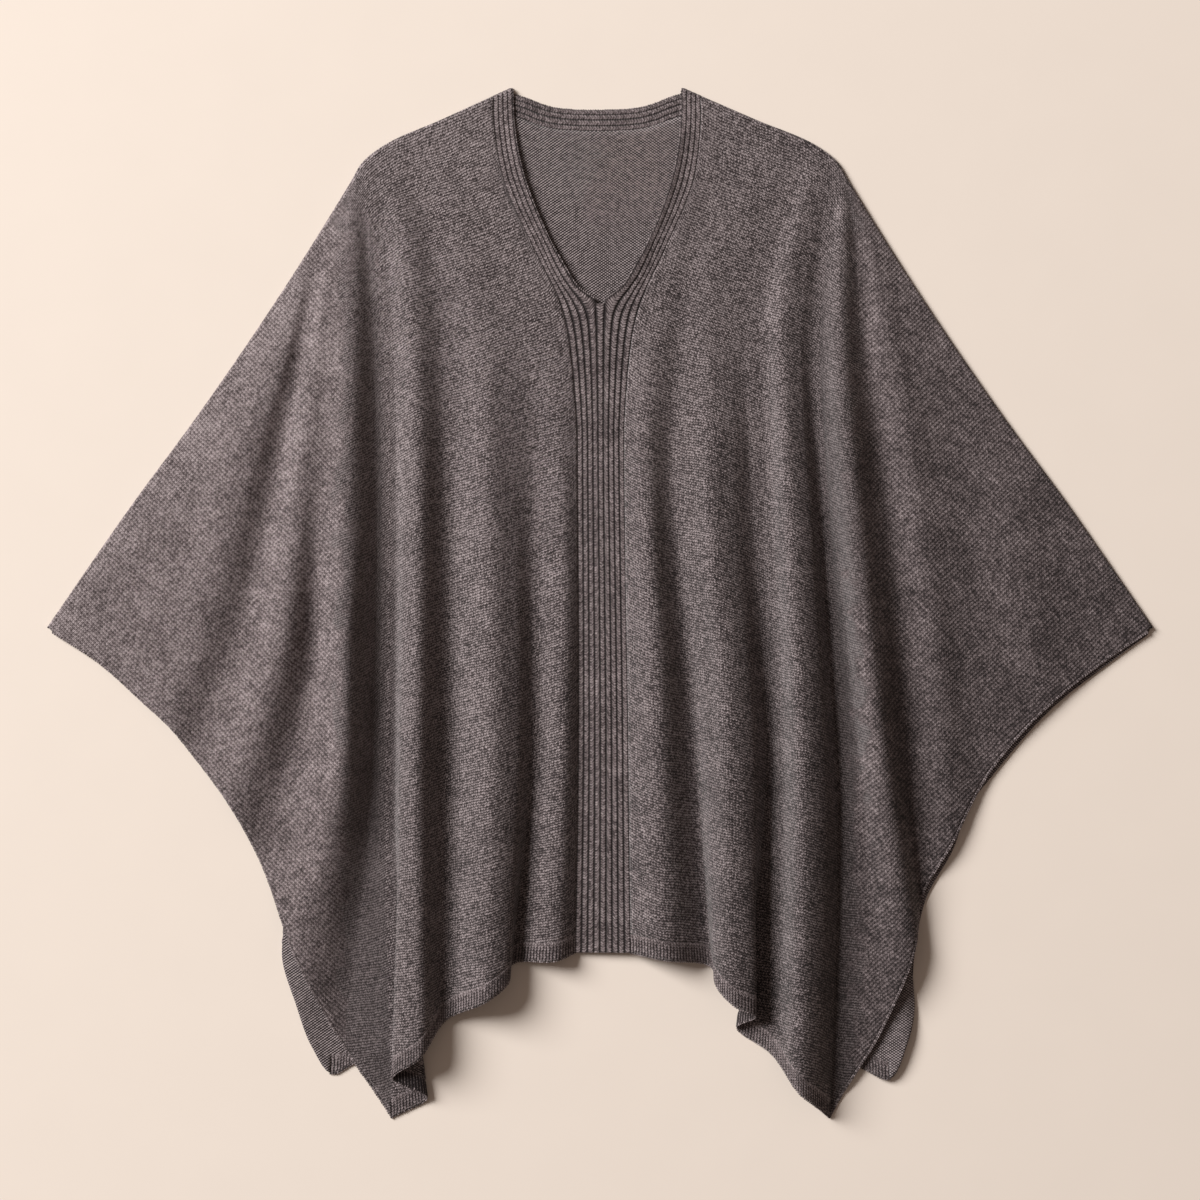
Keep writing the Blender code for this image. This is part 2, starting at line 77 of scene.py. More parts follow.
# Height, inner half width and outer half width of the neck trims and middle ribs.
neckLevels = [
    (-340.0, 0.0, 26.6), (-150.0, 0.0, 24.0), (154.0, 0.0, 22.3), (213.0, 0.0, 25.7),
    (251.0, 0.0, 30.0), (281.0, 0.15, 37.0), (299.7, 21.5, 44.5), (319.7, 34.2, 54.4),
    (348.0, 49.4, 67.8), (379.5, 62.7, 82.4), (407.0, 71.7, 91.6), (437.5, 77.9, 96.5),
    (467.0, 81.0, 98.7), (488.8, 81.4, 98.9),
]
centreLine = [(-340.0, 2.9), (-150.0, 3.2), (154.0, 0.8), (281.0, 0.3), (488.8, -2.9)]
bandTopLine = [(0.0, 467.0), (19.0, 467.4), (38.0, 469.0), (52.0, 472.5), (66.0, 478.0), (84.0, 484.0)]

# Fold lines of the front: name, run along the upper edge, x at neck, chest and waist,
# end x and y, then the lifts at neck, chest, waist and end.
levels = [0.0, 0.2, 0.4, 0.7, 1.0]
rightFolds = [
    ("rib_crest", 30, 66, 44, 55, 60, -337, 1, 10, 20, 20),
    ("valley_1", 49, 82, 68, 87, 107, -347, 0, 0, 0, 1),
    ("lip_0", 60, 92, 86, 103, 109.5, -361, 1.5, 7, 13, 18),
    ("crest_1", 71, 104, 104, 121, 126, -379, 3, 16, 27, 29),
    ("lip_1", 84, 124, 124, 143, 147, -390, 2, 11, 19, 20),
    ("under_1", 97, 143, 146, 158, 130, -402, 0, 0, 0, 4.5),
    ("foot_2", 107, 157, 162, 172, 162, -427, 1, 2, 5, 4),
    ("crest_2", 116, 172, 181, 192, 189, -463, 11, 20, 29, 29),
    ("lip_2", 126, 188, 198, 212, 208, -479, 7, 14, 19, 15),
    ("tip", 136, 203, 212, 226, 218, -489, 0, 0, 0, 0),
    ("band_end", 141, 207, 216, 232, 226, -474, 0.5, 1, 1.5, 0),
    ("side_flank", 147, 213, 223, 246, 265, -409, 3, 6, 6, 5),
    ("side_crest", 156, 227, 238, 263, 298, -325, 13, 22, 26, 13),
    ("valley_3", 170, 250, 268, 289, 305, -281, 0, 0, 0, 0),
    ("wing_crest", 195, 272, 294, 316, 332, -232, 6, 9, 9, 5),
    ("wing_valley", 240, 298, 320, 342, 366, -167, 4, 4, 3, 1),
    ("wing_inner", 380, 368, 383, 405, 428, -96, 3, 5, 5, 2.5),
    ("wing_outer", 530, 447, 456, 468, 480, -55, 1.5, 2, 1.5, 0.5),
    ("wing_tip", 677, 522, 521, 520, 519, -29, 0, 0, 0, 0),
]
leftFolds = [
    ("rib_crest", 30, -60, -35, -34, -40, -338, 0, 4, 11, 14),
    ("valley_1", 49, -80, -67, -62, -84.5, -344, 0, 0, 0, 1),
    ("lip_1", 60, -94, -86, -79, -86.5, -359, 1, 8, 15, 18),
    ("crest_1", 72, -114, -103, -99, -103, -373, 3, 15, 24, 27),
    ("valley_2", 95, -150, -146, -145, -147, -396, 0, 0, 1, 5),
    ("crest_2", 114, -180, -173, -174, -170, -429, 9, 17, 26, 28),
    ("lip_2", 123, -188, -184, -188, -196, -449, 5, 11, 17, 17),
    ("under_2", 130, -196, -193, -194, -164, -469, 0.5, 1, 1.5, 4.5),
    ("tip", 138, -203, -201, -203, -198, -489, 0, 0, 0.5, 0),
    ("band_end", 142, -207, -205, -208, -207, -475, 0, 0, 0.5, 0),
    ("valley_3", 149, -214, -212, -217, -242, -423, 0, 0, 0, 0),
    ("side_crest", 165, -234, -236, -240, -285, -342, 13, 20, 26, 13),
    ("valley_4", 182, -258, -265, -276, -325, -240, 10, 12, 2, 0),
    ("wing_crest", 196, -266, -281, -298, -350, -193, 9, 13, 17, 8),
    ("wing_valley", 210, -275, -299, -335, -388, -143, 3, 2, 1, 0),
    ("wing_rise", 255, -300, -325, -362, -408, -118, 7, 10, 10, 5),
    ("wing_inner", 380, -373, -388, -409, -432, -96, 4, 6, 6, 3),
    ("wing_outer", 530, -447, -454, -465, -475, -58, 2, 3, 2.5, 0.5),
    ("wing_tip", 677, -522, -521, -520, -519, -29, 0, 0, 0, 0),
]
seamLifts = {1: [0.0, 0.0, 0.2, 2.0, 3.0], -1: [0.0, 0.0, 0.2, 0.6, 1.0]}

# The back from its left wing tip to its right one: place, run, end x and y, lift of the end.
backLines = [
    ("left", 675, -517, -29, 0), ("left", 530, -473, -57, 0), ("left", 380, -430, -94, 0),
    ("left", 240, -384, -145, 0), ("left", 200, -350, -190, 0), ("left", 175, -319, -246, 0),
    ("left", 160, -300, -300, 0), ("left", 148, -302, -336, 0), ("left", 136, -289, -380, 3),
    ("left", 122, -273, -423, 2), ("left", 108, -256, -447, 0), ("left", 90, -225, -431, 0),
    ("left", 60, -166, -395, 0), ("left", 32, -122, -364, 0), ("left", 16, -107, -352, 6),
    ("left", 0, -92, -342, 0), ("neck", -84, -70, -331, 0), ("neck", -64, -50, -326, 0),
    ("neck", -42, -32, -324, 0), ("neck", -20, -14, -322, 0), ("neck", 0, 2, -322, 0),
    ("neck", 20, 18, -322, 0), ("neck", 42, 36, -324, 0), ("neck", 64, 58, -327, 0),
    ("neck", 84, 80, -331, 0), ("right", 0, 104, -340, 0), ("right", 16, 119, -350, 6),
    ("right", 32, 134, -361, 0), ("right", 60, 168, -402, 0), ("right", 72, 184, -414, 7),
    ("right", 84, 200, -424, 0), ("right", 96, 222, -434, 0), ("right", 108, 245, -440, 0),
    ("right", 118, 275, -452, 3), ("right", 130, 291, -420, 5), ("right", 142, 298, -389, 2),
    ("right", 156, 297, -360, 0), ("right", 165, 300, -325, 0), ("right", 175, 309, -283, 0),
    ("right", 195, 336, -233, 0), ("right", 225, 351, -192, 0), ("right", 250, 369, -169, 0),
    ("right", 380, 431, -99, 0), ("right", 530, 483, -58, 0), ("right", 675, 520, -31, 0),
]


def unit(vectors):
    return vectors / np.maximum(np.linalg.norm(vectors, axis=-1, keepdims=True), 1e-9)


def smoothStep(value):
    w = np.clip(value, 0.0, 1.0)
    return w * w * (3.0 - 2.0 * w)


def smoothCurve(knots, values):
    # a curve through the values that never swings past them
    knots, values = np.array(knots, float), np.array(values, float)
    steps = np.diff(knots)
    slopes = np.diff(values) / steps
    leans = np.zeros(len(knots))
    leans[0], leans[-1] = slopes[0], slopes[-1]
    for i in range(1, len(knots) - 1):
        if slopes[i - 1] * slopes[i] > 0.0:
            before = 2.0 * steps[i] + steps[i - 1]
            after = steps[i] + 2.0 * steps[i - 1]
            leans[i] = (before + after) / (before / slopes[i - 1] + after / slopes[i])

    def valueAt(knot):
        knot = np.asarray(knot, float)
        i = np.clip(np.searchsorted(knots, knot, side="right") - 1, 0, len(steps) - 1)
        w = np.clip((knot - knots[i]) / steps[i], 0.0, 1.0)
        rise = (values[i + 1] - values[i]) * (3.0 - 2.0 * w) * w * w
        return values[i] + rise + steps[i] * w * (1.0 - w) * (leans[i] * (1.0 - w) - leans[i + 1] * w)

    return valueAt


def curvesOf(table):
    # one curve for each further column of a table, by its first column
    knots, *columns = np.array(table, float).T
    return [smoothCurve(knots, column) for column in columns]


topRuns = np.concatenate([[0.0], np.cumsum(np.hypot(*np.diff(np.array(topEdge), axis=0).T))])
topX, topY = curvesOf(np.column_stack([topRuns, topEdge]))
innerHalf, outerHalf = curvesOf(neckLevels)
seamLiftAt = {side: smoothCurve(levels, lifts) for side, lifts in seamLifts.items()}
hemLines = [line for line in backLines if garment["backHemLeft"] <= line[2] <= garment["backHemRight"]]
centreX, bandTop, backHemY = (
    curvesOf(table)[0] for table in (centreLine, bandTopLine, [line[2:4] for line in hemLines]))


def topPoint(side, run, inset):
    # place on the upper edge of one side, moved into the cloth
    run = np.asarray(run, float)
    along = unit(np.stack([topX(run + 1.0) - topX(run - 1.0), topY(run + 1.0) - topY(run - 1.0)], -1))
    drift = centreX(garment["neckTop"]) * np.maximum(0.0, 1.0 - run / topRuns[2])
    x = topX(run) + along[..., 1] * inset
    y = topY(run) - along[..., 0] * inset
    return np.stack([side * x + drift, y], -1)


def groundHeight(x, y, wall):
    # middle height of a knit that lies on the back, or on the table past its hem
    plain = garment["plainWall"]
    overBack = 1.5 * plain + garment["gap"] + 0.5 * (wall - plain)
    pastHem = backHemY(np.clip(x, garment["backHemLeft"], garment["backHemRight"])) - y
    inside = 1.0 - smoothStep((pastHem - garment["tuckStart"]) / garment["tuck"])
    inside = np.where(np.abs(x) > garment["backCorner"], 1.0, inside)
    return 0.5 * wall + (overBack - 0.5 * wall) * inside


def crossAt(points, stations, corner=None, bends=(), crisp=None, turnFall=0.3):
    # points (rows, lines, xyz) read at stations between the lines, as a soft curve across them
    spans = np.maximum(np.linalg.norm(np.diff(points, axis=1), axis=2, keepdims=True), 1e-6)
    slopes = np.diff(points, axis=1) / spans
    leans = np.empty_like(points)
    leans[:, 0], leans[:, -1] = slopes[:, 0], slopes[:, -1]
    total = spans[:, :-1] + spans[:, 1:]
    leans[:, 1:-1] = (slopes[:, :-1] * spans[:, 1:] + slopes[:, 1:] * spans[:, :-1]) / total
    for bend in bends:
        leans[:, bend, 2] -= turnFall * crisp
    starts, ends = leans[:, :-1].copy(), leans[:, 1:].copy()
    if corner is not None:
        mix = crisp[:, None]
        ends[:, corner - 1] += (slopes[:, corner - 1] - ends[:, corner - 1]) * mix
        starts[:, corner] += (slopes[:, corner] - starts[:, corner]) * mix
    i = np.clip(np.floor(stations).astype(int), 0, points.shape[1] - 2)
    w = (stations - i)[None, :, None]
    soft = w * w * (3.0 - 2.0 * w)
    place = points[:, i] * (1.0 - soft) + points[:, i + 1] * soft
    return place + spans[:, i] * w * (1.0 - w) * (starts[:, i] * (1.0 - w) - ends[:, i] * w)


def arcLengths(grid, axis):
    # distance walked over the grid along one axis, from its first row or column
    steps = np.linalg.norm(np.diff(grid, axis=axis), axis=2)
    lead = np.zeros_like(np.take(steps, [0], axis=axis))
    return np.concatenate([lead, np.cumsum(steps, axis=axis)], axis=axis)


def surfaceNormals(grid):
    normals = unit(np.cross(np.gradient(grid, axis=1), np.gradient(grid, axis=0)))
    return normals * (1.0 if normals[..., 2].sum() > 0.0 else -1.0)


def rolledRows(placeAt, top):
    # the knit turns down over the upper edge of the back, placeAt gives its x and y for an inset
    rows = []
    for k in range(garment["rollSteps"]):
        turn = 0.5 * math.pi * k / garment["rollSteps"]
        place = placeAt(garment["roll"] * (1.0 - math.cos(turn)))
        height = garment["rollStart"] + (top - garment["rollStart"]) * math.sin(turn)
        rows.append(np.column_stack([place, np.broadcast_to(height, len(place))]))
    return np.array(rows)


creaseShape = {
    "bow": 5.0,              # creases are never quite straight
    "bowRate": 4.0,
    "bowShift": 0.05,
    "overrun": 0.15,         # parts of its length by which a crease runs on past its ends
    "fade": 0.45,
}

# Small creases between the main folds: x, y, x, y, width, height (below zero for a trough).
creases = {
    1: [
        (112, 330, 150, 60, 15, -0.9), (70, 250, 62, 20, 10, 0.8), (60, 120, 66, -190, 8, -0.7),
        (205, 300, 214, 90, 9, 0.9), (176, 210, 170, -40, 10, 0.8), (232, 150, 244, -70, 9, -1.0),
        (258, 110, 276, -120, 8, 1.1), (292, 80, 322, -120, 12, -1.0), (268, 300, 262, 170, 12, 0.8),
        (318, 170, 356, -60, 14, 1.0), (352, 60, 398, -104, 12, -0.9), (392, 90, 430, -70, 16, 0.9),
        (424, 80, 472, -44, 15, -0.8), (330, 232, 372, 120, 14, -0.7), (98, 20, 104, -230, 7, 0.7),
        (160, -90, 166, -300, 6, -0.6), (30, 190, 34, -60, 6, 0.5),
    ],
    -1: [
        (-108, 340, -140, 70, 16, -0.9), (-70, 240, -60, 10, 9, 0.9), (-58, 90, -62, -210, 8, -0.7),
        (-190, 300, -196, 60, 8, 0.7), (-170, 220, -164, -60, 10, 0.7), (-226, 130, -236, -90, 7, 0.8),
        (-252, 60, -262, -130, 8, 0.9), (-318, -10, -352, -130, 9, -0.9), (-262, 300, -256, 190, 12, 0.9),
        (-322, 150, -352, -40, 13, 0.9), (-356, 40, -404, -96, 12, -0.8), (-396, 100, -436, -66, 16, 0.9),
        (-430, 70, -478, -42, 15, -0.7), (-334, 228, -378, 130, 14, -0.7), (-134, 60, -130, -240, 9, 0.8),
        (-152, -120, -160, -320, 6, -0.6), (-32, 180, -33, -90, 6, 0.5),
    ],
}


def creaseLift(side, x, y):
    lift = np.zeros_like(x)
    overrun, fadeLength = creaseShape["overrun"], creaseShape["fade"]
    for x0, y0, x1, y1, width, height in creases[side]:
        dx, dy = x1 - x0, y1 - y0
        along = ((x - x0) * dx + (y - y0) * dy) / (dx * dx + dy * dy)
        bow = creaseShape["bow"] * np.sin(creaseShape["bowRate"] * along + creaseShape["bowShift"] * x0)
        off = ((x - x0) * dy - (y - y0) * dx) / math.hypot(dx, dy) + bow
        fade = smoothStep((along + overrun) / fadeLength) * smoothStep((1.0 + overrun - along) / fadeLength)
        lift += height * fade * np.exp(-((off / width) ** 2))
    return lift


class FrontHalf:
    # one half of the front: every fold line as curves of how far down it a point lies

    def __init__(self, side, folds):
        self.side = side
        self.names = ["seam"] + [fold[0] for fold in folds]
        self.runs = np.array([0.0] + [float(fold[1]) for fold in folds])
        self.corner = self.names.index("tip")
        self.bends = [i for i, name in enumerate(self.names) if name.startswith("under")]
        self.tops = topPoint(side, self.runs, garment["roll"])
        self.endY = np.array([garment["frontEnd"]] + [float(fold[6]) for fold in folds])
        endX = np.array([self.tops[0, 0]] + [float(fold[5]) for fold in folds])
        lengths = np.hypot(endX - self.tops[:, 0], self.endY - self.tops[:, 1])
        self.reach = np.minimum(garment["hemReach"], garment["hemBand"] / lengths)
        self.places = [smoothCurve(levels, [top[0], *fold[2:6]]) for fold, top in zip(folds, self.tops[1:])]
        self.lifts = [smoothCurve(levels, [0.0, *fold[7:11]]) for fold in folds]

    def linePoints(self, body, hem):
        # body goes from 0 at the rolled edge to 1 at the hem seam, then hem from 0 to 1
        down = body[:, None] * (1.0 - self.reach) + hem[:, None] * self.reach
        points = np.empty((*down.shape, 3))
        points[..., 1] = self.tops[:, 1] + (self.endY - self.tops[:, 1]) * down
        seamY = points[:, 0, 1]
        points[:, 0, 0] = centreX(seamY) + self.side * outerHalf(seamY)
        points[:, 0, 2] = seamLiftAt[self.side](down[:, 0])
        for i, (place, lift) in enumerate(zip(self.places, self.lifts), 1):
            points[:, i, 0] = place(down[:, i])
            points[:, i, 2] = lift(down[:, i])
        return points

    def surface(self, body, hem, stations, crispStart=0.8, topFade=0.06):
        crisp = smoothStep((body - crispStart) / (1.0 - crispStart))
        grid = crossAt(self.linePoints(body, hem), stations, self.corner, self.bends, crisp)
        zero = np.zeros(1)
        start = crossAt(self.linePoints(zero, zero), stations, self.corner, self.bends, zero)[0]
        edge = topPoint(self.side, self.runAt(stations), garment["roll"])
        fade = np.clip(1.0 - body / topFade, 0.0, 1.0) ** 2
        grid[..., :2] += fade[:, None, None] * (edge - start[:, :2])
        x, y = grid[..., 0], grid[..., 1]
        lift = grid[..., 2] + creaseLift(self.side, x, y)
        grid[..., 2] = softFloor(lift) + groundHeight(x, y, garment["plainWall"])
        return grid

    def runAt(self, stations):
        return np.interp(stations, np.arange(len(self.runs)), self.runs)

    def rolledEdge(self, stations):
        top = groundHeight(np.zeros(1), np.zeros(1), garment["plainWall"])[0]
        return rolledRows(lambda inset: topPoint(self.side, self.runAt(stations), inset), top)


def softFloor(lift, softness=0.35):
    # keeps a lift above zero and rounds the place where it reaches the cloth below
    reach = np.sqrt(lift * lift + softness * softness)
    return 0.5 * (lift + reach) - 0.5 * softness * softness / reach


def stationsFor(points, spacing, sharpSpacing, names):
    # even columns between the lines, closer together beside a lip or an inner bend
    spans = np.linalg.norm(np.diff(points, axis=1), axis=2).max(axis=0)
    stations = []
    for i, span in enumerate(spans):
        pair = names[i] + names[i + 1]
        wanted = sharpSpacing if "lip" in pair or "under" in pair else spacing
        count = max(1, math.ceil(span / wanted))
        stations += [i + k / count for k in range(count)]
    return np.array(stations + [len(spans)])


def addObject(name, data):
    piece = bpy.data.objects.new(name, data)
    bpy.context.scene.collection.objects.link(piece)
    return piece


def gridObject(name, grid, maps, values=None, leaveOut=None):
    # grid is (rows, columns, xyz) in millimetres, maps are UV maps and values float attributes
    index = np.arange(grid[..., 0].size).reshape(grid.shape[:2])
    faces = np.stack([index[:-1, :-1], index[:-1, 1:], index[1:, 1:], index[1:, :-1]], -1).reshape(-1, 4)
    if leaveOut is not None:
        faces = faces[~leaveOut.reshape(-1)]
    points = grid.reshape(-1, 3)
    corners = points[faces]
    if np.cross(corners[:, 2] - corners[:, 0], corners[:, 3] - corners[:, 1])[:, 2].sum() < 0.0:
        faces = faces[:, ::-1]
    used, packed = np.unique(faces, return_inverse=True)
    faces = packed.reshape(-1, 4)
    mesh = bpy.data.meshes.new(name)
    mesh.from_pydata((points[used] * mm).tolist(), [], faces.tolist())
    for mapName, places in maps.items():
        places = places.reshape(-1, 2)[used][faces.reshape(-1)]
        mesh.uv_layers.new(name=mapName).data.foreach_set("uv", places.astype(np.float32).ravel())
    for valueName, numbers in (values or {}).items():
        attribute = mesh.attributes.new(valueName, "FLOAT", "POINT")
        attribute.data.foreach_set("value", numbers.reshape(-1)[used].astype(np.float32))
    mesh.shade_smooth()
    return addObject(name, mesh)


def layerArea(piece):
    return sum(face.area for face in piece.data.polygons)


def mergedObject(name, parts, distance):
    # joins grid objects into one and welds the points they share
    work = bmesh.new()
    for part in parts:
        work.from_mesh(part.data)
        bpy.data.objects.remove(part, do_unlink=True)
    bmesh.ops.remove_doubles(work, verts=work.verts, dist=distance * mm)
    mesh = bpy.data.meshes.new(name)
    work.to_mesh(mesh)
    work.free()
    mesh.shade_smooth()
    return addObject(name, mesh)


def plainMesh(piece, materials):
    # turns the evaluated piece into a plain mesh and removes its modifiers
    graph = bpy.context.evaluated_depsgraph_get()
    mesh = bpy.data.meshes.new_from_object(
        piece.evaluated_get(graph), preserve_all_data_layers=True, depsgraph=graph)
    mesh.name = piece.name
    piece.modifiers.clear()
    piece.data = mesh
    sides = np.zeros(len(mesh.polygons), np.int32)
    mesh.polygons.foreach_get("material_index", sides)
    mesh.materials.clear()
    for material in materials:
        mesh.materials.append(material)
    mesh.polygons.foreach_set("material_index", np.minimum(sides, len(materials) - 1))
    mesh.shade_smooth()


def giveWall(piece, wall, materials):
    # thickness to both sides, with the wrong side of the knit in the second material
    for material in materials:
        piece.data.materials.append(material)
    solid = piece.modifiers.new("wall", "SOLIDIFY")
    solid.thickness = wall * mm
    solid.offset = 0.0
    solid.material_offset = len(materials) - 1
    plainMesh(piece, materials)


class Wire:
    # a node socket that can stand in a sum, so that node maths reads like maths

    def __init__(self, tree, socket):
        self.tree, self.socket = tree, socket

    def math(self, operation, *others):
        node = self.tree.nodes.new("ShaderNodeMath")
        node.operation = operation
        for socket, value in zip(node.inputs, (self, *others)):
            feed(self.tree, socket, value)
        return Wire(self.tree, node.outputs[0])

    __add__ = partialmethod(math, "ADD")
    __sub__ = partialmethod(math, "SUBTRACT")
    __mul__ = partialmethod(math, "MULTIPLY")
    __truediv__ = partialmethod(math, "DIVIDE")
    __pow__ = partialmethod(math, "POWER")
    fraction = partialmethod(math, "FRACT")
    floor = partialmethod(math, "FLOOR")
    size = partialmethod(math, "ABSOLUTE")


def feed(tree, socket, value):
    if isinstance(value, Wire):
        tree.links.new(value.socket, socket)
    else:
        socket.default_value = value


def addNode(tree, kind, inputs=None, **settings):
    node = tree.nodes.new(kind)
    for key, value in settings.items():
        setattr(node, key, value)
    for key, value in (inputs or {}).items():
        feed(tree, node.inputs[key], value)
    return node


def nodeWire(tree, kind, inputs=None, output=0, **settings):
    return Wire(tree, addNode(tree, kind, inputs, **settings).outputs[output])


def joinXYZ(tree, x, y, z=0.0):
    return nodeWire(tree, "ShaderNodeCombineXYZ", {"X": x, "Y": y, "Z": z})


def splitXYZ(tree, vector):
    node = addNode(tree, "ShaderNodeSeparateXYZ", {"Vector": vector})
    return [Wire(tree, output) for output in node.outputs]


def patchesAt(tree, x, y, width, height, seed=0.0, detail=2.0, roughness=0.5):
    # soft noise in patches of about this width and height
    place = joinXYZ(tree, x / width, y / height, seed)
    return nodeWire(tree, "ShaderNodeTexNoise", {
        "Vector": place, "Scale": 1.0, "Detail": detail, "Roughness": roughness}, "Fac")


def mixNumbers(factor, first, second):
    return first + (second - first) * factor


numberSocket = "NodeSocketFloat"


def openGroup(name, sizes):
    # a node group that takes a place and the sizes of a stitch
    tree = bpy.data.node_groups.new(name, "ShaderNodeTree")
    tree.interface.new_socket("Place", in_out="INPUT", socket_type="NodeSocketVector")
    for label in sizes:
        tree.interface.new_socket(label, in_out="INPUT", socket_type=numberSocket)
    start = tree.nodes.new("NodeGroupInput")
    return tree, {label: Wire(tree, start.outputs[label]) for label in ("Place", *sizes)}


def closeGroup(tree, height, cell):
    # and gives the height of the stitch and a chance number for each cell
    for label in ("Height", "Jitter"):
        tree.interface.new_socket(label, in_out="OUTPUT", socket_type=numberSocket)
    end = tree.nodes.new("NodeGroupOutput")
    feed(tree, end.inputs["Height"], height)
    chance = nodeWire(tree, "ShaderNodeTexWhiteNoise", {"Vector": cell}, "Value", noise_dimensions="3D")
    feed(tree, end.inputs["Jitter"], chance)
    return tree


def knitFaceGroup():
    # right side of the knit: every wale is a column of V stitches, every stitch has two legs
    tree, given = openGroup("knitFace", ["Wale", "Course", "Slant"])
    x, y, _ = splitXYZ(tree, given["Place"])
    wale = x / given["Wale"]
    fromMiddle = (wale.fraction() - 0.5).size() * 2.0
    course = y / given["Course"] + fromMiddle * given["Slant"]
    edge = (fromMiddle * 0.5 + 0.3).math("MINIMUM", 1.0)     # wales part more deeply than the two legs
    leg = (fromMiddle * 2.0 - 1.0).size()
    leg = (leg ** 2.2) * edge * -1.0 + 1.0
    loop = (course.fraction() * math.pi).math("SINE")
    height = leg * (loop ** 0.8 * 0.8 + 0.2)
    return closeGroup(tree, height, joinXYZ(tree, (wale * 2.0).floor(), (course * 2.0).floor()))


def purlFaceGroup():
    # wrong side of the knit: rows of interlocked bumps that read as a slanting mesh
    tree, given = openGroup("purlFace", ["Wale", "Course", "Lean"])
    x, y, _ = splitXYZ(tree, given["Place"])
    half, course = x / given["Wale"] * 0.5, y / given["Course"]
    rising, falling = half + course, half - course
    riseWave, fallWave = ((slope.fraction() * math.pi).math("SINE") for slope in (rising, falling))
    lean = given["Lean"]
    height = riseWave * lean + fallWave * (lean * -1.0 + 1.0)
    height = (height * 0.6 + riseWave * fallWave * 0.6).math("MINIMUM", 1.0)
    return closeGroup(tree, height, joinXYZ(tree, rising.floor(), falling.floor(), 7.0))


yarn = {
    "dark": (0.021, 0.0158, 0.0164),
    "shade": (0.078, 0.0612, 0.0628),
    "body": (0.166, 0.1345, 0.1375),
    "fleck": (0.400, 0.3400, 0.3480),
    "between": (0.27, 0.55),     # where shade and body lie on the way from dark to fleck
    "roughness": 0.92,
    "sheen": 0.18,
    "sheenRoughness": 0.45,
    "specular": 0.25,
    "stitch": 1.05,          # share of the colour range that the stitch relief takes, as painted shade in the hollows between the stitches
    "midHeight": 0.6,        # relief that leaves the colour as it is
    "jitter": 0.86,          # share that the colour of each stitch takes
    "streak": 0.54,          # streaks along the courses
    "cloud": 0.22,           # soft patches
    "drift": 0.17,           # painted shade: the knit is painted a little darker towards the lower right, where the lamp's light falls off
    "tone": 0.42,
    "waleWidth": 2.8,
    "courseHeight": 2.5,
    "slant": 0.3,            # how far the legs of a stitch lean, in courses
    "wobble": 2.2,           # the rows wander this far, in millimetres
    "apart": 913.0,          # the two halves read the pattern this far from the middle
    "cloudSize": (45.0, 38.0),
    "relief": 1.1,
}
faceTree = knitFaceGroup()
purlTree = purlFaceGroup()


def groupNode(tree, group, inputs):
    node = addNode(tree, "ShaderNodeGroup", inputs, node_tree=group)
    return Wire(tree, node.outputs["Height"]), Wire(tree, node.outputs["Jitter"])


def streaksAt(tree, x, y):
    # yarn varies along its length, so the streaks follow the courses
    long = patchesAt(tree, x, y, 16.0, 3.2, roughness=0.6)
    short = patchesAt(tree, x, y, 5.5, 2.4, 40.0, detail=1.0)
    patch = patchesAt(tree, x, y, 12.0, 7.5, 80.0, detail=1.0)
    return long * 0.4 + short * 0.35 + patch * 0.35 - 0.05


def finishYarn(material, height, jitter, streak, cloud, tone, groove=None, relief=1.0, heather=1.0,
               stitch=1.0):
    # puts the stitch relief, the heather of the yarn and its streaks together; the relief also gives painted
    # shade between the stitches, and a groove brings painted shade into the grooves of ribs
    tree = material.node_tree
    value = (jitter - 0.5) * yarn["jitter"] * heather
    # painted shade: the stitch relief also darkens the colour in the hollows between the stitches and
    # lightens their raised parts
    value = value + (height - yarn["midHeight"]) * yarn["stitch"] * stitch + tone
    value = value + (streak - 0.5) * yarn["streak"] * 2.0 * heather + (cloud - 0.5) * yarn["cloud"] * 2.0
    # painted shade in the grooves of the ribs, where one is given
    if groove is not None:
        value = value - groove
    ramp = addNode(tree, "ShaderNodeValToRGB", {"Fac": value})
    for position in yarn["between"]:
        ramp.color_ramp.elements.new(position)
    for element, name in zip(ramp.color_ramp.elements, ("dark", "shade", "body", "fleck")):
        element.color = (*yarn[name], 1.0)
    bump = addNode(tree, "ShaderNodeBump", {
        "Height": height, "Strength": 1.0, "Distance": yarn["relief"] * relief * mm})
    shader = tree.nodes["Principled BSDF"]
    tree.links.new(ramp.outputs["Color"], shader.inputs["Base Color"])
    tree.links.new(bump.outputs["Normal"], shader.inputs["Normal"])
    shader.inputs["Roughness"].default_value = yarn["roughness"]
    shader.inputs["Sheen Weight"].default_value = yarn["sheen"]
    shader.inputs["Sheen Roughness"].default_value = yarn["sheenRoughness"]
    shader.inputs["Specular IOR Level"].default_value = yarn["specular"]
    material.diffuse_color = (*yarn["body"], 1.0)
    return material


def startMaterial(name):
    material = bpy.data.materials.new(name)
    material.use_nodes = True
    return material, material.node_tree


def objectPlace(tree):
    # object coordinates in millimetres
    place = nodeWire(tree, "ShaderNodeTexCoord", output="Object")
    return [coordinate * 1000.0 for coordinate in splitXYZ(tree, place)]


def mapPlace(tree, name):
    x, y, _ = splitXYZ(tree, nodeWire(tree, "ShaderNodeUVMap", uv_map=name))
    return x * 1000.0, y * 1000.0


wing = {
    "fadeStart": 236.0,     # outside this half width the wales start to turn with the wing
    "fadeEnd": 252.0,
    "fadeSwing": 70.0,      # and the passage wanders this far
    "along": (0.682, -0.731),
    "waleWidth": 2.7,
    "courseHeight": 3.2,
    "contrast": 0.56,       # of its stitches, set against those of the body
}


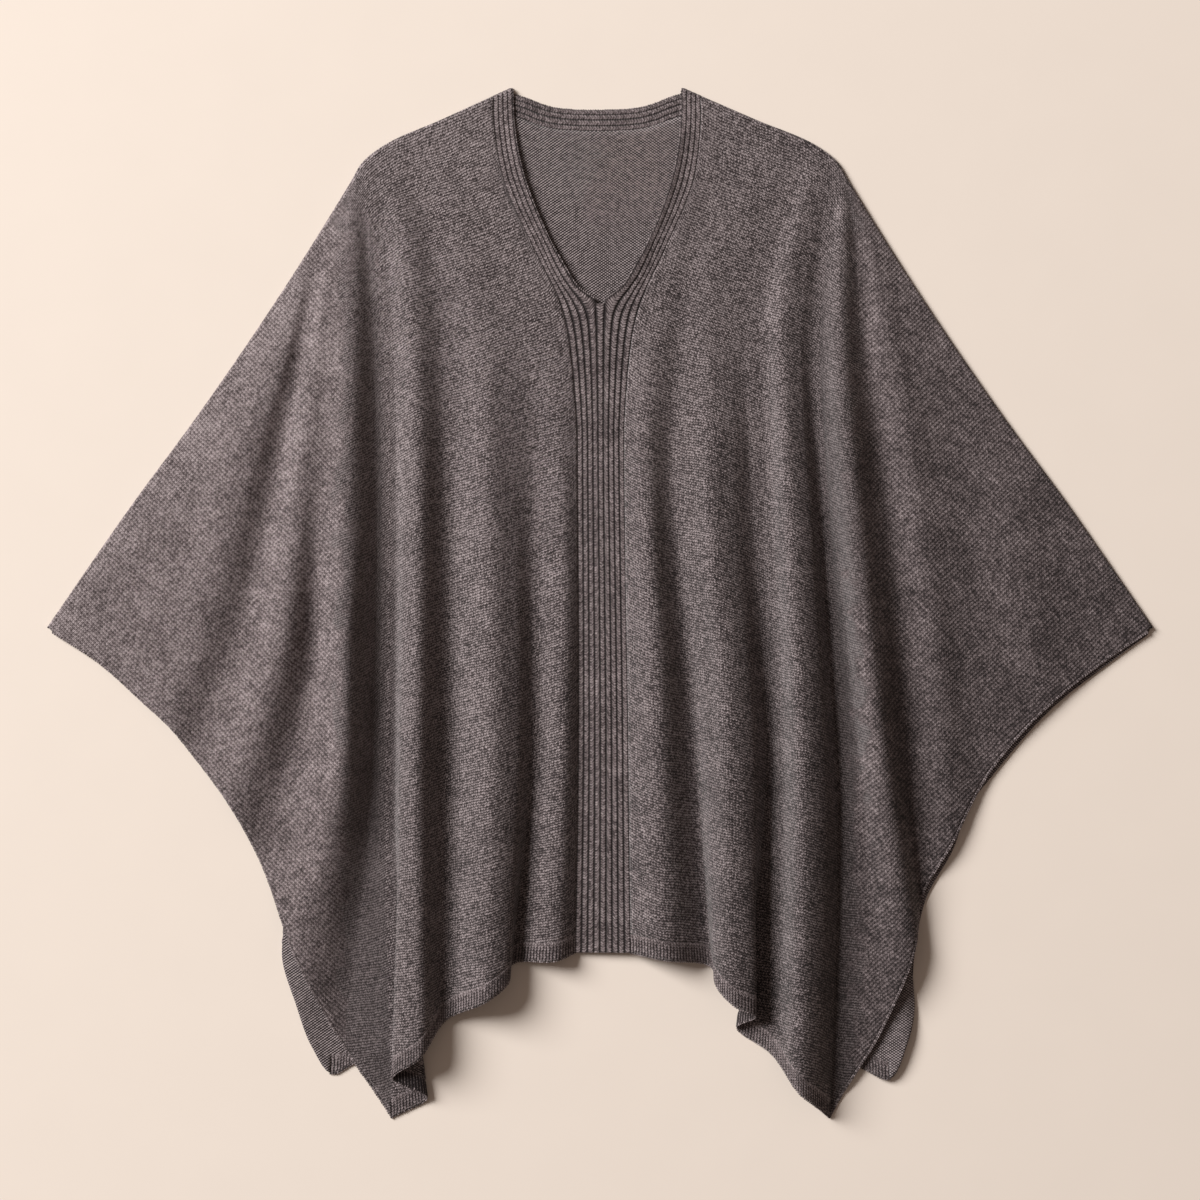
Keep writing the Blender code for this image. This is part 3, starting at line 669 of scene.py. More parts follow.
def plainKnitMaterial():
    material, tree = startMaterial("plainKnit")
    x, y, _ = objectPlace(tree)
    bodyX, bodyY = mapPlace(tree, "knit")
    apart = x.math("SIGN") * yarn["apart"]
    cosine, sine = wing["along"]
    wingX = x.size() * cosine + y * sine
    wingY = x.size() * sine - y * cosine
    swing = (patchesAt(tree, x, y, 16.0, 22.0, 21.0) - 0.5) * wing["fadeSwing"]
    turned = nodeWire(tree, "ShaderNodeMapRange", {
        "Value": x.size() + swing, "From Min": wing["fadeStart"], "From Max": wing["fadeEnd"]},
        interpolation_type="SMOOTHSTEP")
    sway = [(patchesAt(tree, x, y, 22.0, 22.0, seed, detail=1.0) - 0.5) * (2.0 * yarn["wobble"])
            for seed in (60.0, 75.0)]

    def knitFace(waleWay, courseWay, part):
        sizes = {"Wale": part["waleWidth"], "Course": part["courseHeight"], "Slant": yarn["slant"]}
        place = joinXYZ(tree, waleWay + apart + sway[0], courseWay + sway[1])
        return groupNode(tree, faceTree, {"Place": place, **sizes})

    bodyFace = knitFace(bodyX, bodyY, yarn)
    wingFace = knitFace(wingY, wingX, wing)     # courses end square on the upper edge
    height, jitter = (
        mixNumbers(turned, onBody, (onWing - middle) * wing["contrast"] + middle)
        for onBody, onWing, middle in zip(bodyFace, wingFace, (yarn["midHeight"], 0.5)))
    streak = mixNumbers(
        turned, streaksAt(tree, bodyX + apart, bodyY), streaksAt(tree, wingX + apart, wingY))
    # painted shade: the knit is darker towards the lower right and lighter towards the upper left, for the
    # lamp's falloff
    drift = (x / 500.0 - y / 700.0).math("MINIMUM", 1.0).math("MAXIMUM", -1.0)
    tone = drift * -yarn["drift"] + yarn["tone"]
    return finishYarn(material, height, jitter, streak, patchesAt(tree, x, y, *yarn["cloudSize"]), tone)


purl = {
    "wrong": {"Wale": 2.2, "Course": 2.4, "Lean": 0.5},
    "wrongTone": 0.44,
    "back": {"Wale": 1.85, "Course": 2.6},
    "backLean": (0.05, 0.75),     # to the left on one side of the neck, to the right on the other
    "turnStart": -14.0,           # and the lean turns between these two places
    "turnEnd": 18.0,
    "backTone": 0.41,
    # the stitch relief's painted shade is this much stronger on the back
    "backStitch": 2.5,
}


def wrongSideMaterial():
    material, tree = startMaterial("wrongSide")
    x, y, _ = objectPlace(tree)
    bodyX, bodyY = mapPlace(tree, "knit")
    height, jitter = groupNode(tree, purlTree, {"Place": joinXYZ(tree, bodyX, bodyY), **purl["wrong"]})
    cloud = patchesAt(tree, x, y, *yarn["cloudSize"])
    return finishYarn(material, height, jitter, streaksAt(tree, bodyX, bodyY), cloud, purl["wrongTone"])


def backPurlMaterial():
    material, tree = startMaterial("backPurl")
    x, y, _ = objectPlace(tree)
    left, right = purl["backLean"]
    lean = nodeWire(tree, "ShaderNodeMapRange", {
        "Value": x, "From Min": purl["turnStart"], "From Max": purl["turnEnd"],
        "To Min": left, "To Max": right}, interpolation_type="SMOOTHSTEP")
    sizes = {"Lean": lean, **purl["back"]}
    height, jitter = groupNode(tree, purlTree, {"Place": joinXYZ(tree, x, y), **sizes})
    streak = patchesAt(tree, x, y, 5.0, 4.0, 3.0, detail=1.0)
    cloud = patchesAt(tree, x, y, 30.0, 26.0, 9.0)
    return finishYarn(
        material, height, jitter, streak, cloud, purl["backTone"], stitch=purl["backStitch"])


ribYarn = {
    "course": 2.5,
    "slant": 0.8,
    "beads": 0.35,          # share of the painted groove shade that is darkest between the stitches
    # share of the painted groove shade that is even along the groove
    "plain": 0.75,
    "streakWide": 2.2,
    "streakLong": 1.7,
}


def ribMaterial(name, ribWidth, groovePower, grooveShade, tone):
    # the "ribs" map counts ribs one way and walks along them in millimetres the other way
    material, tree = startMaterial(name)
    across, along, _ = splitXYZ(tree, nodeWire(tree, "ShaderNodeUVMap", uv_map="ribs"))
    along = along * 1000.0
    sizes = {"Wale": 1.0, "Course": ribYarn["course"], "Slant": ribYarn["slant"]}
    height, jitter = groupNode(tree, faceTree, {"Place": joinXYZ(tree, across, along), **sizes})
    rise = nodeWire(tree, "ShaderNodeAttribute", output="Fac", attribute_name="rise")
    # painted shade: the grooves between the ribs are painted darker, most of all between the stitches along
    # them
    groove = ((across.fraction() * 2.0 - 1.0).size() ** groovePower) * rise
    beads = ((along / ribYarn["course"]).fraction() * math.pi).math("SINE")
    groove = groove * beads * (grooveShade * ribYarn["beads"]) + groove * (grooveShade * ribYarn["plain"])
    x, y, _ = objectPlace(tree)
    streak = patchesAt(
        tree, across * ribWidth, along, ribYarn["streakWide"], ribYarn["streakLong"], 5.0, detail=1.0)
    cloud = patchesAt(tree, x, y, 40.0, 30.0, 4.0)
    return finishYarn(material, height, jitter, streak, cloud, tone, groove, relief=0.5,
                      heather=0.6, stitch=0.6)


def stitchMaterial():
    material, tree = startMaterial("edgeYarn")
    x, y, z = objectPlace(tree)
    fibre = patchesAt(tree, x, y, 0.9, 0.9, z / 0.9)
    jitter = patchesAt(tree, x, y, 2.6, 2.6, 3.0, detail=0.0)
    cloud = patchesAt(tree, x, y, 40.0, 30.0, 8.0, detail=1.0)
    # painted highlight: the edge stitches are painted lighter than the knit, so the edges read as lit
    return finishYarn(material, fibre, jitter, jitter, cloud, 0.68, relief=0.4)


materials = {
    "plain": plainKnitMaterial(),
    "wrong": wrongSideMaterial(),
    "purl": backPurlMaterial(),
    "rib": ribMaterial("frontRib", ribWidth=5.1, groovePower=3.0, grooveShade=2.1, tone=0.54),
    "band": ribMaterial("bandRib", ribWidth=4.8, groovePower=3.6, grooveShade=1.2, tone=0.50),
    "hem": ribMaterial("hemRib", ribWidth=3.3, groovePower=2.2, grooveShade=1.9, tone=0.53),
    "edge": stitchMaterial(),
}
print("materials made")


def newTree(name, inputs):
    tree = bpy.data.node_groups.new(name, "GeometryNodeTree")
    for label, kind in (("Geometry", "NodeSocketGeometry"), *inputs, ("Material", "NodeSocketMaterial")):
        tree.interface.new_socket(label, in_out="INPUT", socket_type=kind)
    tree.interface.new_socket("Geometry", in_out="OUTPUT", socket_type="NodeSocketGeometry")
    start = tree.nodes.new("NodeGroupInput")
    return tree, {output.name: Wire(tree, output) for output in start.outputs if output.name}


def namedValue(tree, name, kind="FLOAT"):
    return nodeWire(tree, "GeometryNodeInputNamedAttribute", {"Name": name}, "Attribute", data_type=kind)


def closeTree(tree, geometry, material):
    real = nodeWire(tree, "GeometryNodeRealizeInstances", {"Geometry": geometry})
    coloured = nodeWire(tree, "GeometryNodeSetMaterial", {"Geometry": real, "Material": material})
    feed(tree, tree.nodes.new("NodeGroupOutput").inputs[0], coloured)
    return tree


def ribTree():
    # raises the knit into ribs along its normals, by the "across" number of each point,
    # and "rise" says how far the ribs have grown there
    tree, given = newTree("ribs", [("Depth", numberSocket), ("Squareness", numberSocket)])
    fromMiddle = (namedValue(tree, "across").fraction() * 2.0 - 1.0).size()
    groove = (fromMiddle ** given["Squareness"]) * namedValue(tree, "rise")
    depth = (groove * -1.0 + 0.5) * given["Depth"]
    normal = nodeWire(tree, "GeometryNodeInputNormal")
    offset = nodeWire(tree, "ShaderNodeVectorMath", {0: normal, "Scale": depth}, operation="SCALE")
    moved = nodeWire(tree, "GeometryNodeSetPosition", {"Geometry": given["Geometry"], "Offset": offset})
    return closeTree(tree, moved, given["Material"])


edging = {
    "pitch": 2.3,
    "legLength": 2.5,
    "legWidth": 1.5,
    "legTurn": -0.42,       # the two legs of a stitch open like a V
    "open": 0.42,           # and stand this far apart, in leg widths
    "variation": 0.12,
    "seed": 11,
    "inset": 0.6,           # of the selvedge from the edge of the knit
    "height": 0.5,
    "bandHeight": 0.1,      # of the stitches along the back neck band
}


def stitchTree():
    # lays pairs of yarn legs, each pair a V, along a line of edges
    tree, given = newTree("edgeStitches", [
        ("Pitch", numberSocket), ("Leg Length", numberSocket), ("Leg Width", numberSocket),
        ("Open", numberSocket), ("Variation", numberSocket), ("Seed", "NodeSocketInt")])
    curve = nodeWire(tree, "GeometryNodeMeshToCurve", {"Mesh": given["Geometry"]})
    even = nodeWire(tree, "GeometryNodeResampleCurve", {"Curve": curve, "Length": given["Pitch"]},
                    mode="LENGTH")
    tangent = nodeWire(tree, "GeometryNodeInputTangent")
    upright = nodeWire(tree, "FunctionNodeAlignRotationToVector", {
        "Vector": namedValue(tree, "raised", "FLOAT_VECTOR")}, axis="Z")
    turned = nodeWire(tree, "FunctionNodeAlignRotationToVector", {
        "Rotation": upright, "Vector": tangent}, axis="X", pivot_axis="Z")
    pair = addNode(tree, "GeometryNodeJoinGeometry")
    for side in (-1.0, 1.0):
        ball = nodeWire(tree, "GeometryNodeMeshUVSphere", {"Segments": 6, "Rings": 4, "Radius": 0.5})
        size = joinXYZ(tree, given["Leg Length"], given["Leg Width"], given["Leg Width"])
        place = joinXYZ(tree, 0.0, given["Open"] * given["Leg Width"] * side, 0.0)
        leg = nodeWire(tree, "GeometryNodeTransform", {
            "Geometry": ball, "Translation": place, "Scale": size,
            "Rotation": joinXYZ(tree, 0.0, 0.0, edging["legTurn"] * side)})
        feed(tree, pair.inputs[0], leg)
    swing = given["Variation"]
    spread = addNode(tree, "FunctionNodeRandomValue", {
        "Min": swing * -1.0 + 1.0, "Max": swing + 1.0, "Seed": given["Seed"]}, data_type="FLOAT")
    laid = nodeWire(tree, "GeometryNodeInstanceOnPoints", {
        "Points": even, "Instance": Wire(tree, pair.outputs[0]), "Rotation": turned,
        "Scale": Wire(tree, next(output for output in spread.outputs if output.enabled))})
    return closeTree(tree, laid, given["Material"])


def useTree(piece, tree, settings):
    # modifier inputs are set by the identifiers of their sockets
    modifier = piece.modifiers.new(tree.name, "NODES")
    modifier.node_group = tree
    for item in tree.interface.items_tree:
        if item.in_out == "INPUT" and item.name in settings:
            modifier[item.identifier] = settings[item.name]


ribNodes, stitchNodes = ribTree(), stitchTree()


def ribbed(piece, wall, depth, squareness, material):
    useTree(piece, ribNodes, {"Depth": depth * mm, "Squareness": squareness, "Material": material})
    giveWall(piece, wall - depth, [material])


# ---- front ----
front = {
    "spacing": 4.8,
    "sharpSpacing": 1.75,
    "rows": 144,
    "hemSteps": [0.3, 0.55, 0.74, 0.82, 0.91, 1.0],
    "hemSamples": 6000,
    "groove": 0.6,          # depth of the groove beside the selvedge
    "lastRow": 0.9988,      # the plain knit dips under its hem band below this row
    "sink": 0.6,
}
halves = {1: FrontHalf(1, rightFolds), -1: FrontHalf(-1, leftFolds)}
sideNames = {1: "right", -1: "left"}
edgePaths = {"right": [], "left": [], "back": []}     # (points, normals) to be edged with stitches
cutAreas = {}


def addPath(label, points, normals):
    edgePaths[label].append((np.array(points), np.array(normals)))


def sinkRow(grid, row, columns, depth, upright=False):
    # lowers part of a row, where a hem band grows out of a panel or a selvedge stands beside it
    up = np.array([0.0, 0.0, 1.0]) if upright else surfaceNormals(grid)[row, columns]
    grid[row, columns] -= up * depth


def frontKnit(half):
    label = sideNames[half.side]
    down = np.append(np.linspace(0.0, 1.0, front["rows"]), front["lastRow"])
    bandRows = len(front["hemSteps"])
    body = np.concatenate([np.sort(down), np.ones(bandRows)])
    band = np.concatenate([np.zeros(len(down)), front["hemSteps"]])
    stations = stationsFor(half.linePoints(body, band), front["spacing"], front["sharpSpacing"], half.names)
    grid = np.concatenate([half.rolledEdge(stations), half.surface(body, band, stations)])
    corner = int(np.searchsorted(stations, half.corner))
    leaveOut = np.zeros((grid.shape[0] - 1, grid.shape[1] - 1), bool)
    leaveOut[-bandRows:, :corner] = True
    knitMap = np.stack([arcLengths(grid, 1), arcLengths(grid, 0)], -1) * mm
    sinkRow(grid, -bandRows - 1, slice(0, corner - 1), front["sink"])
    sinkRow(grid, -3, slice(corner + 1, None), front["groove"])
    piece = gridObject("front_knit_" + label, grid, {"knit": knitMap}, leaveOut=leaveOut)
    cutAreas[label] = layerArea(piece)
    giveWall(piece, garment["plainWall"], [materials["plain"], materials["wrong"]])
    edge, normals = grid[-1, corner:], surfaceNormals(grid)[-1, corner:]
    inward = unit(grid[-4, corner:] - edge)
    addPath(label, edge + inward * edging["inset"] + normals * edging["height"], normals)
    return piece


def ribColumns(count, parts):
    return np.concatenate([k + np.array(parts) for k in range(count)] + [[count]])


hem = {
    "pitch": 3.3,
    "parts": [0.0, 0.14, 0.32, 0.5, 0.68, 0.86],
    "depth": 0.8,
    "squareness": 2.2,
    "rows": 8,
    "growStart": 0.05,       # the ribs grow out of the plain knit from here
    "growth": 0.30,          # over this part of the band
    "start": -0.14,          # the band starts this far above the end of the plain knit
    "meet": -0.02,           # comes out of it here
    "sink": 0.6,             # and starts this far below it
}


def hemBand(name, label, surfaceAt, ends, samples, sink, upright=False):
    # a band of equal ribs along the lower edge of a panel, between two of its lines
    fine = np.linspace(*ends, samples)
    walked = arcLengths(surfaceAt(np.ones(1), np.ones(1), fine), 1)[0]
    count = round(walked[-1] / hem["pitch"])
    across = ribColumns(count, hem["parts"])
    stations = np.interp(across * walked[-1] / count, walked, fine)
    down = np.concatenate([[hem["start"]], np.linspace(hem["meet"], 1.0, hem["rows"])])
    grid = surfaceAt(np.ones(len(down)), down, stations)
    sinkRow(grid, 0, slice(None), sink, upright)
    across = np.broadcast_to(across, grid.shape[:2])
    rise = np.broadcast_to(smoothStep((down - hem["growStart"]) / hem["growth"])[:, None], across.shape)
    ribMap = np.stack([across, arcLengths(grid, 0) * mm], -1)
    piece = gridObject(name, grid, {"ribs": ribMap}, {"across": across, "rise": rise})
    cutAreas[label] += layerArea(piece)
    ribbed(piece, garment["plainWall"], hem["depth"], hem["squareness"], materials["hem"])
    addPath(label, grid[-1, ::3], surfaceNormals(grid)[-1, ::3])
    return piece


frontPieces = {}
for half in halves.values():
    label = sideNames[half.side]
    frontPieces[label] = frontKnit(half)
    frontPieces["hem_" + label] = hemBand(
        "hem_ribs_" + label, label, half.surface, (0.0, half.corner), front["hemSamples"], hem["sink"])
print("front halves made")

# ---- ribs from the shoulders down both sides of the neck to the hem ----
ribs = {
    "count": 4,              # ribs in each strip
    "parts": [0.0, 0.05, 0.11, 0.2, 0.34, 0.5, 0.66, 0.8, 0.89, 0.95],
    "depth": 1.1,
    "squareness": 3.0,
    "rowLength": 3.6,
    "cup": 3.0,              # the neck ends this far above its point, as wide as the middle rib
    "bias": 0.85,            # inner ribs are widest just above the point of the neck
    "biasRise": 20.0,
    "biasReach": 25.0,
    "soften": 16.0,          # rib lines round the point of the neck this far up and down
    "edgePower": 6,
    "fade": 12.0,            # the middle grooves fade out over this length below the neck
    "closed": 0.8,           # and are closed by this part at most
    "flatter": 0.3,          # part of the groove that is lost up along the neck
    "flatterRise": 90.0,
    "curl": 2.6,             # the inner edges stand up this far along the neck
    "curlStart": 256.0,      # between these two heights
    "curlEnd": 470.0,
    "curlRise": 50.0,
    "curlFall": 60.0,
    "topFade": 50.0,         # the rib lines reach the shoulder seam over this length
    "weld": 0.02,
}
neckBottom = garment["vPoint"] + ribs["cup"]
seamTop = halves[1].tops[0, 1]
evenRows = np.arange(seamTop, garment["frontEnd"], -ribs["rowLength"])
rowY = np.unique(np.append(evenRows, [neckBottom, garment["frontEnd"]]))[::-1]


def innerEdge(y):
    # the edge of the neck, and below it the side of the middle rib
    middle = outerHalf(y) / (2 * ribs["count"] + 1)
    return np.where(y >= neckBottom, np.maximum(innerHalf(y), middle), middle)


def ribPlace(side, y, fraction):
    # x of a point in one strip, fraction 0 at its outer seam and 1 at its inner edge
    outer, edge = outerHalf(y) - garment["seam"], innerEdge(y)
    steps = np.linspace(-ribs["soften"], ribs["soften"], 9)
    inner = sum(innerEdge(y + step) for step in steps) / len(steps)
    inner = inner + (edge - inner) * fraction ** ribs["edgePower"]
    bias = ribs["bias"] * np.exp(-(((y - neckBottom - ribs["biasRise"]) / ribs["biasReach"]) ** 2))
    bent = fraction - bias * fraction * fraction * (1.0 - fraction)
    return centreX(y) + side * (outer + (inner - outer) * bent)


def grooveRise(y, fraction):
    # how far the grooves are open, with the innermost ones closed just below the neck
    closed = ribs["closed"] * (1.0 - smoothStep(np.abs(neckBottom - y) / ribs["fade"]))
    flatter = ribs["flatter"] * smoothStep((y - neckBottom) / ribs["flatterRise"])
    return 1.0 - np.maximum(closed * fraction ** 4, flatter)


def ribHeight(x, y, side, fraction):
    # the ribs hang between the lifted seams on both sides, and curl up along the neck
    down = (seamTop - y) / (seamTop - garment["frontEnd"])
    lifts = {seamSide: liftAt(down) for seamSide, liftAt in seamLiftAt.items()}
    across = 0.5 + 0.5 * (x - centreX(y)) / outerHalf(y)
    slung = lifts[-1] + (lifts[1] - lifts[-1]) * across
    lift = np.where(y > neckBottom, lifts[side], slung)
    curl = smoothStep((y - ribs["curlStart"]) / ribs["curlRise"])
    curl = curl * smoothStep((ribs["curlEnd"] - y) / ribs["curlFall"])
    return lift + ribs["curl"] * curl * fraction ** 3 + groundHeight(x, y, garment["ribWall"])


def ribStrip(side):
    across = ribColumns(ribs["count"], ribs["parts"])
    fraction = (across / ribs["count"])[None, :]
    y = np.broadcast_to(rowY[:, None], (len(rowY), len(across))).copy()
    x = ribPlace(side, y, fraction)
    middle, top = centreX(garment["neckTop"]), garment["neckTop"]
    innerTop = np.array([middle + side * garment["neckPoint"][0], garment["neckPoint"][1]])
    outerTop = np.array([middle + side * (garment["neckHalf"] - garment["seam"]), top])
    along = unit(outerTop - innerTop)
    inward = np.array([side * along[1], -side * along[0]])
    shoulder = outerTop + (innerTop - outerTop) * fraction[0][:, None]
    fade = np.clip(1.0 - (rowY[0] - rowY) / ribs["topFade"], 0.0, 1.0)[:, None] ** 2
    start = shoulder + inward * garment["roll"]
    x, y = x + fade * (start[:, 0] - x[0]), y + fade * (start[:, 1] - y[0])
    rows = np.stack([x, y, ribHeight(x, y, side, fraction)], -1)
    rolled = rolledRows(lambda inset: shoulder + inward * inset, rows[0, :, 2])
    return np.concatenate([rolled, rows]), across


def middleRib():
    across = ribColumns(1, ribs["parts"])
    lower = rowY[rowY <= neckBottom]
    y = np.broadcast_to(lower[:, None], (len(lower), len(across)))
    ends = [ribPlace(side, y, np.ones((1, 1))) for side in (-1, 1)]
    x = ends[0] + (ends[1] - ends[0]) * across[None, :]
    return np.stack([x, y, ribHeight(x, y, 1, 1.0)], -1), across


def frontRibs():
    parts = []
    for side in (-1, 1, 0):
        grid, across = ribStrip(side) if side else middleRib()
        across = np.broadcast_to(across, grid.shape[:2])
        walked = arcLengths(grid, 0) + (0.0 if side else neckBottom)
        ribMap = np.stack([across + 10.0 * side, walked * mm], -1)
        rise = grooveRise(grid[..., 1], across / ribs["count"] if side else 1.0)
        parts.append(gridObject(f"strip{side}", grid, {"ribs": ribMap}, {"across": across, "rise": rise}))
        if side:
            neckRows = grid[:, 0, 1] > neckBottom
            addPath(sideNames[side], grid[neckRows, -1], surfaceNormals(grid)[neckRows, -1])
    piece = mergedObject("front_ribs", parts, ribs["weld"])
    ribbed(piece, garment["ribWall"], ribs["depth"], ribs["squareness"], materials["rib"])
    return piece


frontPieces["ribs"] = frontRibs()
print("ribs made")

# ---- back ----
back = {
    "spacing": 6.0,
    "rows": 120,
    "hemRows": 4,
    "hemSamples": 4000,
    "sink": 0.4,
    "liftStart": 0.62,       # the back lies flat above this part of its length
    "bandHeight": 19.0,
    "bandRibs": [0.0, 3.8, 8.9, 14.5, 19.0],
    "bandHalf": 84.0,
    "bandColumns": 60,
    "bandDepth": 0.8,
}


def bandEdge(x, drop):
    slope = bandTop(np.abs(x) + 1.0) - bandTop(np.abs(x))
    return bandTop(np.abs(x)) - drop * np.hypot(1.0, slope)


def backPoints(down, hemPart):
    tops = []
    for place, run, *_ in backLines:
        if place == "neck":
            height = bandEdge(float(run), back["bandHeight"]) - garment["seam"]
            tops.append([float(run) + centreX(garment["neckTop"]), height])
        else:
            tops.append(topPoint(1 if place == "right" else -1, float(run), garment["backInset"]))
    tops, ends = np.array(tops), np.array([line[2:4] for line in backLines], float)
    reach = np.minimum(garment["hemReach"], garment["hemBand"] / np.linalg.norm(ends - tops, axis=1))
    part = down[:, None] * (1.0 - reach) + hemPart[:, None] * reach
    places = tops + (ends - tops) * part[..., None]
    lift = np.array([line[4] for line in backLines], float) * smoothStep(
        (part - back["liftStart"]) / (1.0 - back["liftStart"]))
    return np.concatenate([places, (lift + 0.5 * garment["plainWall"])[..., None]], -1)


def backSurface(down, hemPart, stations):
    grid = crossAt(backPoints(down, hemPart), stations)
    grid[..., 2] = np.maximum(grid[..., 2], 0.5 * garment["plainWall"])
    return grid


def backPanel(first, last):
    body = np.sort(np.append(np.linspace(0.0, 1.0, back["rows"]), front["lastRow"]))
    down = np.concatenate([body, np.ones(back["hemRows"])])
    hemPart = np.concatenate([np.zeros(len(body)), np.linspace(0.0, 1.0, back["hemRows"] + 1)[1:]])
    names = ["plain"] * len(backLines)
    stations = stationsFor(backPoints(down, hemPart), back["spacing"], back["spacing"], names)
    grid = backSurface(down, hemPart, stations)
    first, last = (int(np.searchsorted(stations, i)) for i in (first, last))
    leaveOut = np.zeros((grid.shape[0] - 1, grid.shape[1] - 1), bool)
    leaveOut[-back["hemRows"]:, first:last] = True
    knitMap = grid[..., :2] * mm
    sinkRow(grid, -back["hemRows"] - 1, slice(first + 1, last - 1), back["sink"], upright=True)
    piece = gridObject("back_knit", grid, {"knit": knitMap}, leaveOut=leaveOut)
    cutAreas["back"] = layerArea(piece)
    giveWall(piece, garment["plainWall"], [materials["purl"], materials["wrong"]])
    return piece


def neckBand():
    xs = np.linspace(-back["bandHalf"], back["bandHalf"], back["bandColumns"])
    across = ribColumns(len(back["bandRibs"]) - 1, ribs["parts"])
    drops = np.interp(across, np.arange(len(back["bandRibs"])), back["bandRibs"])
    grid = np.full((len(drops), len(xs), 3), 0.5 * garment["plainWall"])
    grid[..., 0] = xs + centreX(garment["neckTop"])
    grid[..., 1] = bandEdge(xs, drops[:, None])
    across = np.broadcast_to(across[:, None], grid.shape[:2])
    ribMap = np.stack([across, arcLengths(grid, 1) * mm], -1)
    rise = np.ones(across.shape)
    piece = gridObject("neck_band", grid, {"ribs": ribMap}, {"across": across, "rise": rise})
    cutAreas["back"] += layerArea(piece)
    ribbed(piece, garment["plainWall"], back["bandDepth"], ribs["squareness"], materials["band"])
    up = np.broadcast_to(np.array([0.0, 0.0, 1.0]), (len(xs), 3))
    addPath("back", grid[0] + up * edging["bandHeight"], up)
    return piece


hemEnds = [backLines.index(line) for line in (hemLines[0], hemLines[-1])]
backPieces = {
    "knit": backPanel(*hemEnds),
    "hem": hemBand(
        "back_hem_ribs", "back", backSurface, hemEnds, back["hemSamples"], back["sink"], upright=True),
    "band": neckBand(),
}
print("back made")


# ---- bound-off edges and selvedges ----
def edgeStitches(label, seedStep):
    mesh = bpy.data.meshes.new("edge_stitches_" + label)
    points, edges, ups = [], [], []
    for path, normals in edgePaths[label]:
        first = len(points)
        points += (path * mm).tolist()
        ups += normals.tolist()
        edges += [(first + k, first + k + 1) for k in range(len(path) - 1)]
    mesh.from_pydata(points, edges, [])
    raised = mesh.attributes.new("raised", "FLOAT_VECTOR", "POINT")
    raised.data.foreach_set("vector", np.array(ups, np.float32).ravel())
    piece = addObject(mesh.name, mesh)
    useTree(piece, stitchNodes, {
        "Pitch": edging["pitch"] * mm, "Leg Length": edging["legLength"] * mm,
        "Leg Width": edging["legWidth"] * mm, "Open": edging["open"],
        "Variation": edging["variation"], "Seed": edging["seed"] + seedStep,
        "Material": materials["edge"]})
    plainMesh(piece, [materials["edge"]])
    return piece


edges = {label: edgeStitches(label, k) for k, label in enumerate(edgePaths)}
print("edges stitched")

# ---- what each piece is and what it stands for ----
pieceTable = [
    (frontPieces["right"], "plain_knit", ["front_right"]),
    (frontPieces["left"], "plain_knit", ["front_left"]),
    (frontPieces["hem_right"], "rib_knit", ["hem_rib_front_right"]),
    (frontPieces["hem_left"], "rib_knit", ["hem_rib_front_left"]),
    (frontPieces["ribs"], "rib_knit", ["neck_trim_left", "neck_trim_right", "centre_rib_panel"]),
    (backPieces["knit"], "purl_knit", ["back_panel"]),
    (backPieces["hem"], "rib_knit", ["hem_rib_back"]),
    (backPieces["band"], "rib_knit", ["back_neck_band"]),
    *[(piece, "rib_knit", []) for piece in edges.values()],
]
for piece, slotName, nodes in pieceTable:
    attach(piece, "root")
    if nodes:
        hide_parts(*nodes)

overBack = [backPieces["knit"].name]
sheetTable = [
    # name, piece, flat width and length and area in metres, what it rests on, the pieces on it
    ("left", frontPieces["left"], (0.58, 0.91), 0.33, overBack, [frontPieces["hem_left"], edges["left"]]),
    ("right", frontPieces["right"], (0.58, 0.91), 0.33, overBack,
     [frontPieces["hem_right"], frontPieces["ribs"], edges["right"]]),
    ("back", backPieces["knit"], (1.05, 0.93), 0.62, [],
     [backPieces["hem"], backPieces["band"], edges["back"]]),
]
for label, piece, flat, area, below, others in sheetTable:
    print(label, "one side of the cloth measures", round(cutAreas[label], 4))

# ---- floor, light and camera ----
studio = {
    "floorColour": (0.880, 0.785, 0.705),
    "floorHalf": 12.0,               # metres
    "floorHeight": -0.0003,
    "floorPatch": 60.0,              # millimetres
    "floorShades": (0.985, 1.015),
    "floorRoughness": 0.85,
    "floorSpecular": 0.2,
    "keyTravel": (0.87, -0.49),      # the light goes towards the lower right
    "keyAngle": 32.5,                # degrees above the floor
    "keyAway": 11.0,                 # metres
    "keyStrength": 5.05,
    "keySoftness": 30.0,             # degrees
    "keyColour": (1.0, 0.985, 0.965),
    "skyColour": (1.0, 0.800, 0.680),
    "skyStrength": 0.16,
    "cameraPlace": (0.0, 0.0024, 3.0),
    "lens": 94.7,
    "sensor": 36.0,
}


